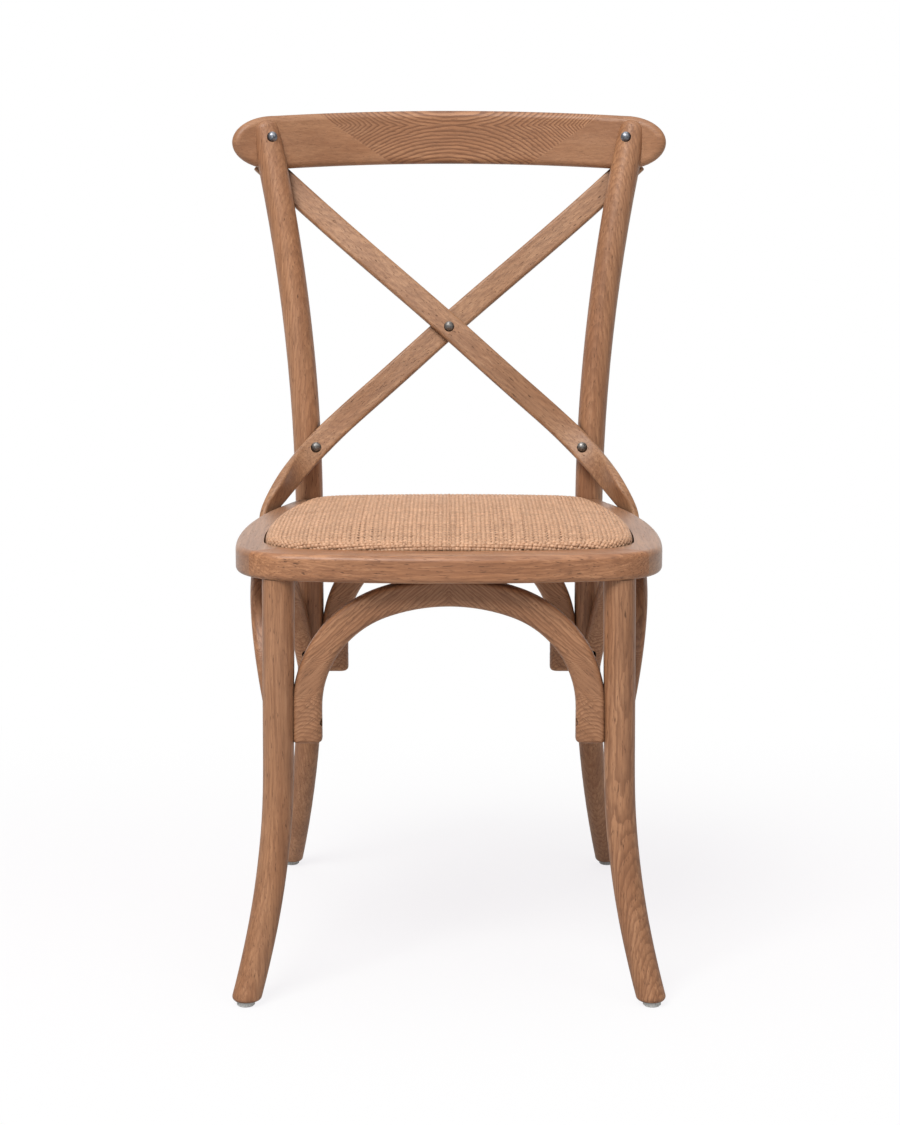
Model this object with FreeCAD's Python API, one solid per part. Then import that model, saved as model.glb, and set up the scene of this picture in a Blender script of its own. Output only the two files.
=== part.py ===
"""Cross back chair of bent and shaped wood with a crowned cane seat.

Millimetres, +Z up, the chair faces -Y and is symmetric about X = 0. While it is built, Y = 0 is
the front edge of the seat; at the end everything is moved so that the origin is the middle of the
floor under the chair. Left is the side of -X, as seen from the front.
"""
import FreeCAD, Part

import math
import os

Vector = FreeCAD.Vector
UP = Vector(0, 0, 1)
FORWARD = Vector(0, -1, 0)
BACKWARD = Vector(0, 1, 0)
ORIGIN = Vector(0, 0, 0)
SIDES = (-1, 1)
NEAR = 0.01

# Seat frame
SEAT_HEIGHT = 455.0
RIM_THICKNESS = 27.0
SEAT_WIDTH = 430.0
SEAT_DEPTH = 408.0
WIDEST_PLACE = 140.0
FRONT_BOW_RADIUS = 850.0
SIDE_BOW_RADIUS = 680.0
BACK_BOW_RADIUS = 900.0
FRONT_CORNER_RADIUS = 66.0
BACK_CORNER_RADIUS = 32.0
RIM_FRONT_WIDTH = 35.0
RIM_SIDE_WIDTH = 28.0
RIM_BACK_WIDTH = 36.0
RIM_EDGE_RADIUS = 6.0
OPENING_FRONT_CORNER_RADIUS = 50.0
LEDGE_WIDTH = 12.0
RECESS_DEPTH = 14.0
SCARF_OUTER_INSET = 18.5
SCARF_OUTER_SETBACK = 35.3
SCARF_LENGTH = 56.5
SCARF_RUN = 36.5
BACK_RAIL_HALF_LENGTH = 112.0

# Seat pad
PAD_GAP = 0.8
BOARD_THICKNESS = 8.0
PAD_CROWN = 22.0
PAD_PROFILE = [(0.0, 1.0), (0.26, 0.968), (0.52, 0.885), (0.74, 0.76), (0.89, 0.59), (0.97, 0.38)]
CANE_THICKNESS = 2.4
SOFT_GAP = 0.3

# Front legs
FRONT_LEG_SIDE_INSET = 48.0
FRONT_LEG_SETBACK = 38.0
FRONT_LEG_SPLAY = 5.0
FRONT_KNEE_HEIGHT = 237.0
FRONT_FOOT_OUT = 32.0
FRONT_FOOT_FORWARD = 30.0
FRONT_LEG_TOP_DIAMETER = 32.2
FRONT_LEG_KNEE_DIAMETER = 30.8
FRONT_LEG_FOOT_DIAMETER = 28.8
FRONT_LEG_SECTIONS = 12
TENON_DIAMETER = 22.0
TENON_LENGTH = 20.0

# Back legs
BACK_LEG_SIDE_INSET = 57.5
BACK_LEG_INSET = 12.0
BACK_KNEE_HEIGHT = 300.0
BACK_FOOT_OUT = 32.0
BACK_FOOT_BACK = 89.0
STILE_SPREAD = 50.0
STILE_LEAN = 50.0
STILE_STRAIGHT_BELOW_SEAT_TOP = 15.0
STILE_TOP_DIAMETER = 32.0
STILE_SEAT_DIAMETER = 30.8
BACK_LEG_KNEE_DIAMETER = 30.0
BACK_LEG_FOOT_DIAMETER = 25.5
STILE_END_BELOW_CREST_TOP = 13.0
STILE_END_ROUNDING = 9.0
BACK_LEG_SECTIONS = 20
LEG_LOFT_BELOW_FLOOR = 10.0
FOOT_EDGE_RADIUS = 4.5

# Crest rail
CREST_TOP = 884.0
CREST_HEIGHT = 59.0
CREST_END_DROP = 6.0
CREST_THICKNESS = 24.0
CREST_BOW_RADIUS = 640.0
CREST_OVERHANG = 39.0
CREST_END_LENGTH = 46.0
CREST_EDGE_RADIUS = 7.0
STILE_STANDS_PROUD = 10.0
LAP_DEPTH = 10.0
LEFT_GLUE_LINE_TOP = -151.0
LEFT_GLUE_LINE_BOTTOM = -64.0
RIGHT_GLUE_LINE_TOP = 177.0
RIGHT_GLUE_LINE_BOTTOM = 91.0

# Crossed braces
BRACE_WIDTH = 27.0
BRACE_THICKNESS = 10.0
BRACE_EDGE_RADIUS = 3.0
BRACE_HOUSING = 2.0
BRACE_SEAT_HOUSING = 1.0
BRACE_END_PAST_STILE = 12.0
BRACE_END_BELOW_CREST_TOP = 56.0
BRACE_UPPER_SAG = 2.0
BRACE_CROSSING_BELOW_CREST_TOP = 237.4
BRACE_BOLT_ABOVE_SEAT = 59.5
BRACE_BOLT_INSIDE_STILE = 11.0
BRACE_LOWER_RISE = 1.0
BRACE_ELBOW_BULGE = Vector(2.5, 1.5, 2.5)
BRACE_TURN_POWER = 0.6
BRACE_LANDING_Y = 320.0
BRACE_LANDING_BELOW_SEAT = 2.0
BRACE_END_Y = 313.0
BRACE_END_BELOW_SEAT = 22.0
BRACE_SECTIONS = 17

# Arches
ARCH_WIDTH = 29.5
ARCH_THICKNESS = 21.0
ARCH_OUTER_ROUNDING = 6.0
ARCH_INNER_ROUNDING = 8.5
ARCH_SHOULDER_RADIUS = 112.0
ARCH_CROWN_RADIUS = 195.0
ARCH_DROP = 166.0
BACK_ARCH_DROP = 172.0
ARCH_SETBACK = 3.5
ARCH_COVE = 1.6
ARCH_CROWN_FLAT = 0.6
SIDE_ARCH_TILT = 10.6
ARCH_FOOT_ROUNDING = 4.5

# Bolts, nuts and screws
BOLT_RADIUS = 3.0
BOLT_HEAD_RADIUS = 5.6
BOLT_HEAD_HEIGHT = 3.8
BOLT_HEAD_RIM = 0.8
NUT_HEIGHT = 5.5
NUT_BORE_DEPTH = 4.0
BOLT_CLEARANCE = 0.15
BOLT_HEAD_SUNK = 1.2
HEAD_POCKET_LENGTH = 60.0
CREST_BOLT_INSIDE_STILE = 7.5
CREST_BOLT_BELOW_TOP = 29.0
SEAT_BOLT_HEAD_RADIUS = 6.5
SEAT_BOLT_GRIP = 52.0
BARREL_NUT_RADIUS = 5.0
BARREL_NUT_BACKSET = 8.0
SCREW_RADIUS = 2.0
SCREW_HEAD_RADIUS = 3.8
SCREW_HEAD_HEIGHT = 2.6
SCREW_HEAD_GAP = 0.4
FOOT_SCREW_HEIGHT = 21.0
FOOT_SCREW_SUNK = 8.0
FOOT_SCREW_LENGTH = 36.0
CROWN_SCREW_SUNK = 8.0
CROWN_SCREW_BITE = 9.0
BRACE_TOP_SCREW_FROM_END = 9.0
BRACE_TOP_SCREW_RAISED = 6.0
BRACE_TOP_SCREW_BITE = 8.0
BRACE_END_SCREW_SUNK = 0.5
BRACE_END_SCREW_BITE = 16.0
BOARD_SCREW_SUNK = 1.0
BOARD_SCREW_BITE = 5.5
BOARD_SCREW_SPREAD = 72.0

# Dowels and glides
DOWEL_RADIUS = 4.0
DOWEL_LENGTH = 40.0
DOWEL_SPACING = 17.0
GLIDE_RADIUS = 9.0
GLIDE_HEIGHT = 5.0
GLIDE_CHAMFER = 1.2
NAIL_RADIUS = 1.5
NAIL_HEAD_RADIUS = 4.0
NAIL_HEAD_HEIGHT = 1.4
NAIL_LENGTH = 20.0
NAIL_HEAD_SUNK = 1.2

# Places that follow from the sizes above
HALF_WIDTH = SEAT_WIDTH / 2
RIM_BOTTOM = SEAT_HEIGHT - RIM_THICKNESS
LEDGE_HEIGHT = SEAT_HEIGHT - RECESS_DEPTH
BOARD_TOP = LEDGE_HEIGHT + BOARD_THICKNESS
FRONT_LEG_X = HALF_WIDTH - FRONT_LEG_SIDE_INSET
BACK_LEG_X = HALF_WIDTH - BACK_LEG_SIDE_INSET
BACK_LEG_Y = SEAT_DEPTH - BACK_LEG_INSET
STILE_TOP = CREST_TOP - STILE_END_BELOW_CREST_TOP
STILE_BEND_START = SEAT_HEIGHT - STILE_STRAIGHT_BELOW_SEAT_TOP
CREST_MIDDLE = CREST_TOP - CREST_END_DROP - CREST_HEIGHT / 2
REACH = 2 * SEAT_WIDTH
STILE_SIZES = [(SEAT_HEIGHT, STILE_SEAT_DIAMETER), (STILE_TOP, STILE_TOP_DIAMETER)]


def cylinder(start, axis, radius, length):
    return Part.makeCylinder(radius, length, start, axis)


def mirrored(shape):
    return shape.mirror(ORIGIN, Vector(1, 0, 0))


def both_sides(right_shape):
    """A right-hand solid and its mirror image, as (left, right)."""
    return mirrored(right_shape), right_shape


def box_between(low, high):
    size = high - low
    return Part.makeBox(size.x, size.y, size.z, low)


def prism(points, direction):
    """A solid made by moving a closed polygon along a direction."""
    return Part.Face(Part.makePolygon(points + points[:1])).extrude(direction)


def between(value, low, high):
    return max(low, min(high, value))


# Seat frame and pad

def plate(bottom, thickness, front, side, back, front_radius, back_radius):
    """A flat solid with the seat's bowed outline, drawn in from the front, sides and back."""
    front_bow = FRONT_BOW_RADIUS - front
    back_bow = BACK_BOW_RADIUS - back
    side_bow = SIDE_BOW_RADIUS - side
    solid = cylinder(Vector(0, front + front_bow, bottom), UP, front_bow, thickness)
    back_centre = Vector(0, SEAT_DEPTH - back - back_bow, bottom)
    solid = solid.common(cylinder(back_centre, UP, back_bow, thickness))
    for sign in SIDES:
        side_centre = Vector(sign * (HALF_WIDTH - side - side_bow), WIDEST_PLACE, bottom)
        solid = solid.common(cylinder(side_centre, UP, side_bow, thickness))
    front_corners = [e for e in upright_edges(solid) if e.CenterOfMass.y < SEAT_DEPTH / 2]
    solid = solid.makeFillet(front_radius, front_corners)
    back_corners = [e for e in upright_edges(solid) if is_sharp_back_corner(e, back)]
    return solid.makeFillet(back_radius, back_corners)


def upright_edges(solid):
    return [edge for edge in solid.Edges
            if edge.BoundBox.ZLength > NEAR and edge.BoundBox.XLength < NEAR]


def is_sharp_back_corner(edge, back):
    """True for the two corners where the back bow meets the side bows."""
    place = edge.CenterOfMass
    back_bow = BACK_BOW_RADIUS - back
    bow_centre = Vector(0, SEAT_DEPTH - back - back_bow, place.z)
    return place.y > SEAT_DEPTH / 2 and abs(place.distanceToPoint(bow_centre) - back_bow) < NEAR


def opening_plate(bottom, thickness, inset):
    """A plate with the outline of the recess for the pad, drawn in all round by inset."""
    corner_front = OPENING_FRONT_CORNER_RADIUS - inset
    corner_back = BACK_CORNER_RADIUS - inset / 2
    return plate(bottom, thickness, RIM_FRONT_WIDTH + inset, RIM_SIDE_WIDTH + inset,
                 RIM_BACK_WIDTH + inset, corner_front, corner_back)


def flat_edges(solid, height):
    """The edges that lie wholly at one height."""
    return [edge for edge in solid.Edges
            if abs(edge.BoundBox.ZMin - height) < NEAR and abs(edge.BoundBox.ZMax - height) < NEAR]


def seat_ring():
    """The whole seat frame as one ring, with the recess and the ledge under the pad."""
    ring = plate(RIM_BOTTOM, RIM_THICKNESS, 0, 0, 0, FRONT_CORNER_RADIUS, BACK_CORNER_RADIUS)
    outer_edges = flat_edges(ring, SEAT_HEIGHT) + flat_edges(ring, RIM_BOTTOM)
    ring = ring.makeFillet(RIM_EDGE_RADIUS, outer_edges)
    ring = ring.cut(opening_plate(LEDGE_HEIGHT, RECESS_DEPTH, 0))
    return ring.cut(opening_plate(RIM_BOTTOM, LEDGE_HEIGHT - RIM_BOTTOM, LEDGE_WIDTH))


def split_ring(ring):
    """Cut the ring into a front rail with scarfed ends, a back rail and two side rails."""
    scarf_x = HALF_WIDTH - SCARF_OUTER_INSET
    inner = Vector(scarf_x - SCARF_LENGTH, SCARF_OUTER_SETBACK + SCARF_RUN, 0)
    outer = Vector(scarf_x + SCARF_LENGTH, SCARF_OUTER_SETBACK - SCARF_RUN, 0)
    front_points = [inner, outer, Vector(outer.x, -REACH, 0), Vector(-outer.x, -REACH, 0),
                    Vector(-outer.x, outer.y, 0), Vector(-inner.x, inner.y, 0)]
    front_region = prism(front_points, UP * REACH)
    back_region = box_between(Vector(-BACK_RAIL_HALF_LENGTH, SEAT_DEPTH / 2, 0),
                              Vector(BACK_RAIL_HALF_LENGTH, REACH, REACH))
    right_region = box_between(Vector(0, -REACH, 0), Vector(REACH, REACH, REACH))
    side_ring = ring.cut(front_region).cut(back_region)
    return {
        "seat_front_rail": ring.common(front_region),
        "seat_back_rail": ring.common(back_region),
        "seat_left_rail": side_ring.cut(right_region),
        "seat_right_rail": side_ring.common(right_region),
    }


def crowned_pad(shrink, lowering, bottom):
    """A crowned closed form in the recess: steep drawn-in sides and a gently domed top."""
    outline = opening_plate(SEAT_HEIGHT, 1.0, PAD_GAP + shrink)
    base = Part.Wire(Part.__sortEdges__(flat_edges(outline, SEAT_HEIGHT)))
    centre = Vector(0, base.BoundBox.Center.y, SEAT_HEIGHT)
    crown = PAD_CROWN - lowering
    wires = [base.translated(Vector(0, 0, bottom - SEAT_HEIGHT))]
    for rise, size in PAD_PROFILE:
        wire = base.copy()
        wire.scale(size, centre)
        wires.append(wire.translated(Vector(0, 0, rise * crown)))
    return Part.makeLoft(wires, True, False)


# Legs

def bend(height, start, span):
    """How far a leg has left its straight line, growing with the square of the distance."""
    return max(0.0, (start - height) / span) ** 2


def front_leg_centre(height):
    out = FRONT_LEG_SPLAY * (RIM_BOTTOM - height) / RIM_BOTTOM
    sweep = bend(height, FRONT_KNEE_HEIGHT, FRONT_KNEE_HEIGHT)
    return Vector(FRONT_LEG_X + out + FRONT_FOOT_OUT * sweep,
                  FRONT_LEG_SETBACK - FRONT_FOOT_FORWARD * sweep, height)


def back_leg_centre(height):
    low = bend(height, BACK_KNEE_HEIGHT, BACK_KNEE_HEIGHT)
    high = bend(-height, -STILE_BEND_START, STILE_TOP - STILE_BEND_START)
    return Vector(BACK_LEG_X + BACK_FOOT_OUT * low + STILE_SPREAD * high,
                  BACK_LEG_Y + BACK_FOOT_BACK * low + STILE_LEAN * high, height)


def diameter_at(height, sizes):
    """Interpolate a list of (height, diameter) pairs that runs upwards."""
    for (low, low_size), (high, high_size) in zip(sizes, sizes[1:]):
        if height <= high:
            share = between((height - low) / (high - low), 0.0, 1.0)
            return low_size + share * (high_size - low_size)
    return sizes[-1][1]


def round_leg(centre_at, sizes, bottom, top, sections):
    """A round tapered leg lofted along a curved centre line."""
    wires = []
    for index in range(sections):
        height = bottom + (top - bottom) * index / (sections - 1)
        heading = centre_at(height + 1) - centre_at(height - 1)
        wire = Part.Wire(Part.makeCircle(diameter_at(height, sizes) / 2))
        wire.Placement = FreeCAD.Placement(centre_at(height), FreeCAD.Rotation(UP, heading))
        wires.append(wire)
    return Part.makeLoft(wires, True, False)


def trimmed_foot(leg):
    """Cut a leg level where its glide goes and soften the edge."""
    leg = leg.cut(box_between(Vector(-REACH, -REACH, -REACH), Vector(REACH, REACH, GLIDE_HEIGHT)))
    return leg.makeFillet(FOOT_EDGE_RADIUS, flat_edges(leg, GLIDE_HEIGHT))


def front_leg():
    sizes = [(0, FRONT_LEG_FOOT_DIAMETER), (FRONT_KNEE_HEIGHT, FRONT_LEG_KNEE_DIAMETER),
             (RIM_BOTTOM, FRONT_LEG_TOP_DIAMETER)]
    leg = round_leg(front_leg_centre, sizes, -LEG_LOFT_BELOW_FLOOR, SEAT_HEIGHT, FRONT_LEG_SECTIONS)
    leg = leg.cut(box_between(Vector(-REACH, -REACH, RIM_BOTTOM), Vector(REACH, REACH, REACH)))
    leg = trimmed_foot(leg)
    tenon = cylinder(front_leg_centre(RIM_BOTTOM) - UP, UP, TENON_DIAMETER / 2, TENON_LENGTH + 1)
    return leg.fuse(tenon)


def back_leg():
    sizes = [(0, BACK_LEG_FOOT_DIAMETER), (BACK_KNEE_HEIGHT, BACK_LEG_KNEE_DIAMETER)] + STILE_SIZES
    leg = round_leg(back_leg_centre, sizes, -LEG_LOFT_BELOW_FLOOR, STILE_TOP, BACK_LEG_SECTIONS)
    lowest = STILE_TOP - STILE_TOP_DIAMETER / 2
    top_edges = [edge for edge in leg.Edges if edge.BoundBox.ZMin > lowest]
    leg = leg.makeFillet(STILE_END_ROUNDING, top_edges)
    return trimmed_foot(leg)


def front_surface_y(solid, x, z):
    """Where a line going backwards at (x, z) first meets a solid."""
    line = Part.makeLine(Vector(x, -REACH, z), Vector(x, REACH, z))
    return line.common(solid).BoundBox.YMin


def back_surface_y(solid, x, z):
    line = Part.makeLine(Vector(x, -REACH, z), Vector(x, REACH, z))
    return line.common(solid).BoundBox.YMax


# Crest rail

def crest_bow_centre():
    """Centre, in plan, of the crest rail's bow, which puts the stiles proud of its front."""
    stile = back_leg_centre(CREST_MIDDLE)
    front = stile.y - STILE_TOP_DIAMETER / 2 + STILE_STANDS_PROUD
    return front - math.sqrt(CREST_BOW_RADIUS ** 2 - stile.x ** 2)


def crest_outline():
    """The crest rail seen from the front: gently bowed edges and half-elliptical ends."""
    half_length = back_leg_centre(CREST_MIDDLE).x + CREST_OVERHANG
    shoulder = half_length - CREST_END_LENGTH
    bottom = CREST_TOP - CREST_HEIGHT
    arcs = []
    for middle in (CREST_TOP, bottom):
        ends = [Vector(sign * shoulder, 0, middle - CREST_END_DROP) for sign in SIDES]
        arcs.append(Part.Arc(ends[0], Vector(0, 0, middle), ends[1]).toShape())
    for sign in SIDES:
        centre = Vector(sign * shoulder, 0, CREST_MIDDLE)
        tip = Vector(sign * half_length, 0, CREST_MIDDLE)
        upper = centre + UP * (CREST_HEIGHT / 2)
        ellipse = Part.Ellipse(tip, upper, centre)
        first = ellipse.parameter(upper)
        second = ellipse.parameter(centre - UP * (CREST_HEIGHT / 2))
        if abs(ellipse.value((first + second) / 2).x) < shoulder:
            first, second = second, first + 2 * math.pi
        arcs.append(Part.ArcOfEllipse(ellipse, first, second).toShape())
    return Part.Wire(Part.__sortEdges__(arcs))


def bow_sector(centre_y, inner_radius, outer_radius):
    """An upright ring between two radii of the crest rail's bow."""
    start = Vector(0, centre_y, CREST_TOP - 2 * CREST_HEIGHT)
    outer = cylinder(start, UP, outer_radius, 3 * CREST_HEIGHT)
    return outer.cut(cylinder(start, UP, inner_radius, 3 * CREST_HEIGHT))


def crest_blank():
    """The crest rail's outline carried straight through from front to back."""
    return Part.Face(crest_outline()).extrude(BACKWARD * REACH)


def crest_solid(centre_y):
    sector = bow_sector(centre_y, CREST_BOW_RADIUS, CREST_BOW_RADIUS + CREST_THICKNESS)
    rail = crest_blank().common(sector)
    rounded = [edge for edge in rail.Edges if edge.Length > CREST_HEIGHT / 2]
    return rail.makeFillet(CREST_EDGE_RADIUS, rounded)


def split_crest(crest):
    """Cut the crest rail along its two slanted glue lines."""
    top = CREST_TOP
    bottom = CREST_TOP - CREST_HEIGHT

    def end_region(top_x, bottom_x, sign):
        slope = (top_x - bottom_x) / (top - bottom)
        high = Vector(top_x + slope * CREST_HEIGHT, 0, top + CREST_HEIGHT)
        low = Vector(bottom_x - slope * CREST_HEIGHT, 0, bottom - CREST_HEIGHT)
        far = sign * REACH
        return prism([high, low, Vector(far, 0, low.z), Vector(far, 0, high.z)], BACKWARD * REACH)

    left = end_region(LEFT_GLUE_LINE_TOP, LEFT_GLUE_LINE_BOTTOM, -1)
    right = end_region(RIGHT_GLUE_LINE_TOP, RIGHT_GLUE_LINE_BOTTOM, 1)
    return {
        "crest_left_block": crest.common(left),
        "crest_centre_block": crest.cut(left).cut(right),
        "crest_right_block": crest.common(right),
    }


# Crossed braces

def rim_side(y):
    """Point on the seat frame's right side at mid thickness, with its outward direction."""
    centre = Vector(HALF_WIDTH - SIDE_BOW_RADIUS, WIDEST_PLACE, 0)
    along = y - WIDEST_PLACE
    outward = Vector(math.sqrt(SIDE_BOW_RADIUS ** 2 - along ** 2), along, 0) / SIDE_BOW_RADIUS
    return centre + outward * SIDE_BOW_RADIUS, outward


def brace_points(crest_back_radius, bow_centre_y, layer):
    """Centre line of the brace that runs from the upper left to the lower right.

    The layer is -1 for the brace in front at the crossing and 1 for the one behind it.
    """
    half = BRACE_THICKNESS / 2
    top_z = CREST_TOP - BRACE_END_BELOW_CREST_TOP
    top_x = back_leg_centre(top_z).x + BRACE_END_PAST_STILE
    top_y = bow_centre_y + math.sqrt(crest_back_radius ** 2 - top_x ** 2) + half - BRACE_HOUSING
    bolt_z = SEAT_HEIGHT + BRACE_BOLT_ABOVE_SEAT
    stile = back_leg_centre(bolt_z)
    stile_front = stile.y - diameter_at(bolt_z, STILE_SIZES) / 2
    bolt = Vector(stile.x - BRACE_BOLT_INSIDE_STILE, stile_front - half + BRACE_HOUSING, bolt_z)
    top = Vector(-top_x, top_y, top_z)
    crossing_z = CREST_TOP - BRACE_CROSSING_BELOW_CREST_TOP
    middle_y = top.y + (bolt.y - top.y) * top.x / (top.x - bolt.x)
    lean = math.atan2(top.y - bolt.y, top.z - bolt.z)
    crossing = Vector(0, middle_y + layer * half / math.cos(lean), crossing_z)
    rest = half - BRACE_SEAT_HOUSING
    landing, outward = rim_side(BRACE_LANDING_Y)
    landing = landing + outward * rest + UP * (SEAT_HEIGHT - BRACE_LANDING_BELOW_SEAT)
    end, outward = rim_side(BRACE_END_Y)
    end = end + outward * rest + UP * (SEAT_HEIGHT - BRACE_END_BELOW_SEAT)
    upper = (top + crossing) / 2 - UP * BRACE_UPPER_SAG
    lower = (crossing + bolt) / 2 + UP * BRACE_LOWER_RISE
    elbow = (bolt + landing) / 2 + BRACE_ELBOW_BULGE
    return [top, upper, crossing, lower, bolt, elbow, landing, end], outward


def brace_section(centre, heading, face):
    """Rounded rectangle across the strip, its width square to both heading and face."""
    heading = Vector(heading).normalize()
    face = (face - heading * face.dot(heading)).normalize()
    across = heading.cross(face).normalize()
    wire = rounded_rectangle(BRACE_WIDTH, BRACE_THICKNESS, [BRACE_EDGE_RADIUS] * 4)
    matrix = FreeCAD.Matrix(across.x, face.x, heading.x, centre.x,
                            across.y, face.y, heading.y, centre.y,
                            across.z, face.z, heading.z, centre.z, 0, 0, 0, 1)
    return wire.transformShape(matrix)


def rounded_rectangle(width, depth, radii):
    """Rounded rectangle about the origin; radii start at -X -Y and go anticlockwise."""
    corners = [Vector(-width / 2, -depth / 2, 0), Vector(width / 2, -depth / 2, 0),
               Vector(width / 2, depth / 2, 0), Vector(-width / 2, depth / 2, 0)]
    edges = []
    starts = []
    ends = []
    for index, (corner, radius) in enumerate(zip(corners, radii)):
        before = (corners[index - 1] - corner).normalize()
        after = (corners[(index + 1) % 4] - corner).normalize()
        start = corner + before * radius
        end = corner + after * radius
        middle = corner + (before + after) * radius * (1 - math.sqrt(0.5))
        edges.append(Part.Arc(start, middle, end).toShape())
        starts.append(start)
        ends.append(end)
    for index in range(4):
        edges.append(Part.makeLine(ends[index - 1], starts[index]))
    return Part.Wire(Part.__sortEdges__(edges))


def brace(crest_back_radius, bow_centre_y, layer):
    """A bent strip: flat down to its bolt, then turned round to lie on the seat's side."""
    points, rim_outward = brace_points(crest_back_radius, bow_centre_y, layer)
    curve = Part.BSplineCurve()
    curve.interpolate(points)
    fall = points[4] - points[0]
    flat_face = Vector(0, fall.z, -fall.y).normalize()
    bolt_height = points[4].z
    landing_height = points[6].z
    wires = []
    for index in range(BRACE_SECTIONS):
        share = index / (BRACE_SECTIONS - 1)
        parameter = curve.FirstParameter + share * (curve.LastParameter - curve.FirstParameter)
        centre = curve.value(parameter)
        heading = curve.tangent(parameter)[0]
        share = between((bolt_height - centre.z) / (bolt_height - landing_height), 0.0, 1.0)
        share = share ** BRACE_TURN_POWER
        turned = share * share * (3 - 2 * share)
        face = flat_face * (1 - turned) - rim_outward * turned
        wires.append(brace_section(centre, heading, face))
    return Part.makeLoft(wires, True, False), points


# Arches

def arch(half_span, rise):
    """A bent arch in the X-Z plane: straight feet, two shoulder arcs and a flatter crown."""
    inset = half_span - ARCH_SHOULDER_RADIUS
    gap = ARCH_CROWN_RADIUS - ARCH_SHOULDER_RADIUS
    foot = rise - ARCH_CROWN_RADIUS + math.sqrt(gap ** 2 - inset ** 2)
    crown_centre = Vector(0, 0, rise - ARCH_CROWN_RADIUS)
    tangent_angle = math.atan2(foot - crown_centre.z, inset)
    middle_angle = tangent_angle / 2

    def shoulder(sign, angle):
        return Vector(sign * (inset + ARCH_SHOULDER_RADIUS * math.cos(angle)), 0,
                      foot + ARCH_SHOULDER_RADIUS * math.sin(angle))

    left = [shoulder(-1, angle) for angle in (0, middle_angle, tangent_angle)]
    right = [shoulder(1, angle) for angle in (tangent_angle, middle_angle, 0)]
    path = Part.Wire([
        Part.makeLine(Vector(-half_span, 0, 0), left[0]),
        Part.Arc(*left).toShape(),
        Part.Arc(left[2], Vector(0, 0, rise), right[0]).toShape(),
        Part.Arc(*right).toShape(),
        Part.makeLine(right[2], Vector(half_span, 0, 0)),
    ])
    section = rounded_rectangle(ARCH_WIDTH, ARCH_THICKNESS,
                                [ARCH_OUTER_ROUNDING, ARCH_INNER_ROUNDING,
                                 ARCH_INNER_ROUNDING, ARCH_OUTER_ROUNDING])
    section.translate(Vector(-half_span, 0, 0))
    solid = path.makePipeShell([section], True, False)
    return solid.makeFillet(ARCH_FOOT_ROUNDING, flat_edges(solid, 0))


def fitted_arch(solid, legs):
    """Cove an arch to its legs and plane its crown flat under the seat frame."""
    above = box_between(Vector(-REACH, -REACH, RIM_BOTTOM), Vector(REACH, REACH, REACH))
    solid = solid.cut(above)
    for leg in legs:
        solid = solid.cut(leg)
    return solid


def cross_arch(leg_centre, leg_diameter, drop, plane_y):
    """An arch between the two front legs or the two back legs."""
    foot_height = RIM_BOTTOM - drop
    leg_face = leg_centre(foot_height + FOOT_SCREW_HEIGHT).x - leg_diameter / 2
    half_span = leg_face + ARCH_COVE - ARCH_WIDTH / 2
    rise = drop - ARCH_WIDTH / 2 + ARCH_CROWN_FLAT
    solid = arch(half_span, rise)
    solid.translate(Vector(0, plane_y, foot_height))
    return solid, half_span


def side_arch_place():
    """Plan line of the right side arch: its middle, its heading and its half span."""
    foot_height = RIM_BOTTOM - ARCH_DROP + FOOT_SCREW_HEIGHT
    front = front_leg_centre(foot_height)
    back = back_leg_centre(foot_height)
    front.z = 0
    back.z = 0
    heading = (back - front).normalize()
    front_face = front + heading * (FRONT_LEG_KNEE_DIAMETER / 2 - ARCH_COVE)
    back_face = back - heading * (BACK_LEG_KNEE_DIAMETER / 2 - ARCH_COVE)
    half_span = (back_face - front_face).Length / 2 - ARCH_WIDTH / 2
    return (front_face + back_face) / 2, heading, half_span


def side_arch():
    middle, heading, half_span = side_arch_place()
    tilt = math.radians(SIDE_ARCH_TILT)
    half_height = ARCH_WIDTH / 2 * math.cos(tilt) + ARCH_THICKNESS / 2 * math.sin(tilt)
    rise = (ARCH_DROP - half_height + 2 * ARCH_CROWN_FLAT) / math.cos(tilt)
    solid = arch(half_span, rise)
    solid.rotate(ORIGIN, Vector(1, 0, 0), SIDE_ARCH_TILT)
    plan_angle = math.degrees(math.atan2(heading.y, heading.x))
    solid.rotate(ORIGIN, UP, plan_angle)
    solid.translate(middle + UP * (RIM_BOTTOM - ARCH_DROP))
    return solid


# Bolts, nuts and screws

def dome(centre, axis, radius, height):
    """A domed head: a thin cylindrical rim under a spherical cap."""
    cap_height = height - BOLT_HEAD_RIM
    sphere_radius = (radius ** 2 + cap_height ** 2) / (2 * cap_height)
    half_angle = math.asin(radius / sphere_radius) / 2
    apex = Vector(0, 0, height)
    shoulder = Vector(radius, 0, BOLT_HEAD_RIM)
    middle = Vector(sphere_radius * math.sin(half_angle), 0,
                    height - sphere_radius * (1 - math.cos(half_angle)))
    base_corner = Vector(radius, 0, 0)
    outline = Part.Wire([Part.makeLine(ORIGIN, base_corner), Part.makeLine(base_corner, shoulder),
                         Part.Arc(shoulder, middle, apex).toShape(), Part.makeLine(apex, ORIGIN)])
    head = Part.Face(outline).revolve(ORIGIN, UP, 360)
    head.Placement = FreeCAD.Placement(centre, FreeCAD.Rotation(UP, axis))
    return head


def domed_bolt(seat, into, length, head_radius):
    """A bolt whose head seats at a point and whose shank runs along into."""
    head = dome(seat, into * -1, head_radius, BOLT_HEAD_HEIGHT)
    return head.fuse(cylinder(seat, into, BOLT_RADIUS, length))


def cap_nut(seat, outward):
    """A domed nut with a blind bore for the end of the bolt."""
    nut = dome(seat, outward, BOLT_HEAD_RADIUS, NUT_HEIGHT)
    return nut.cut(cylinder(seat, outward, BOLT_RADIUS, NUT_BORE_DEPTH))


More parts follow.
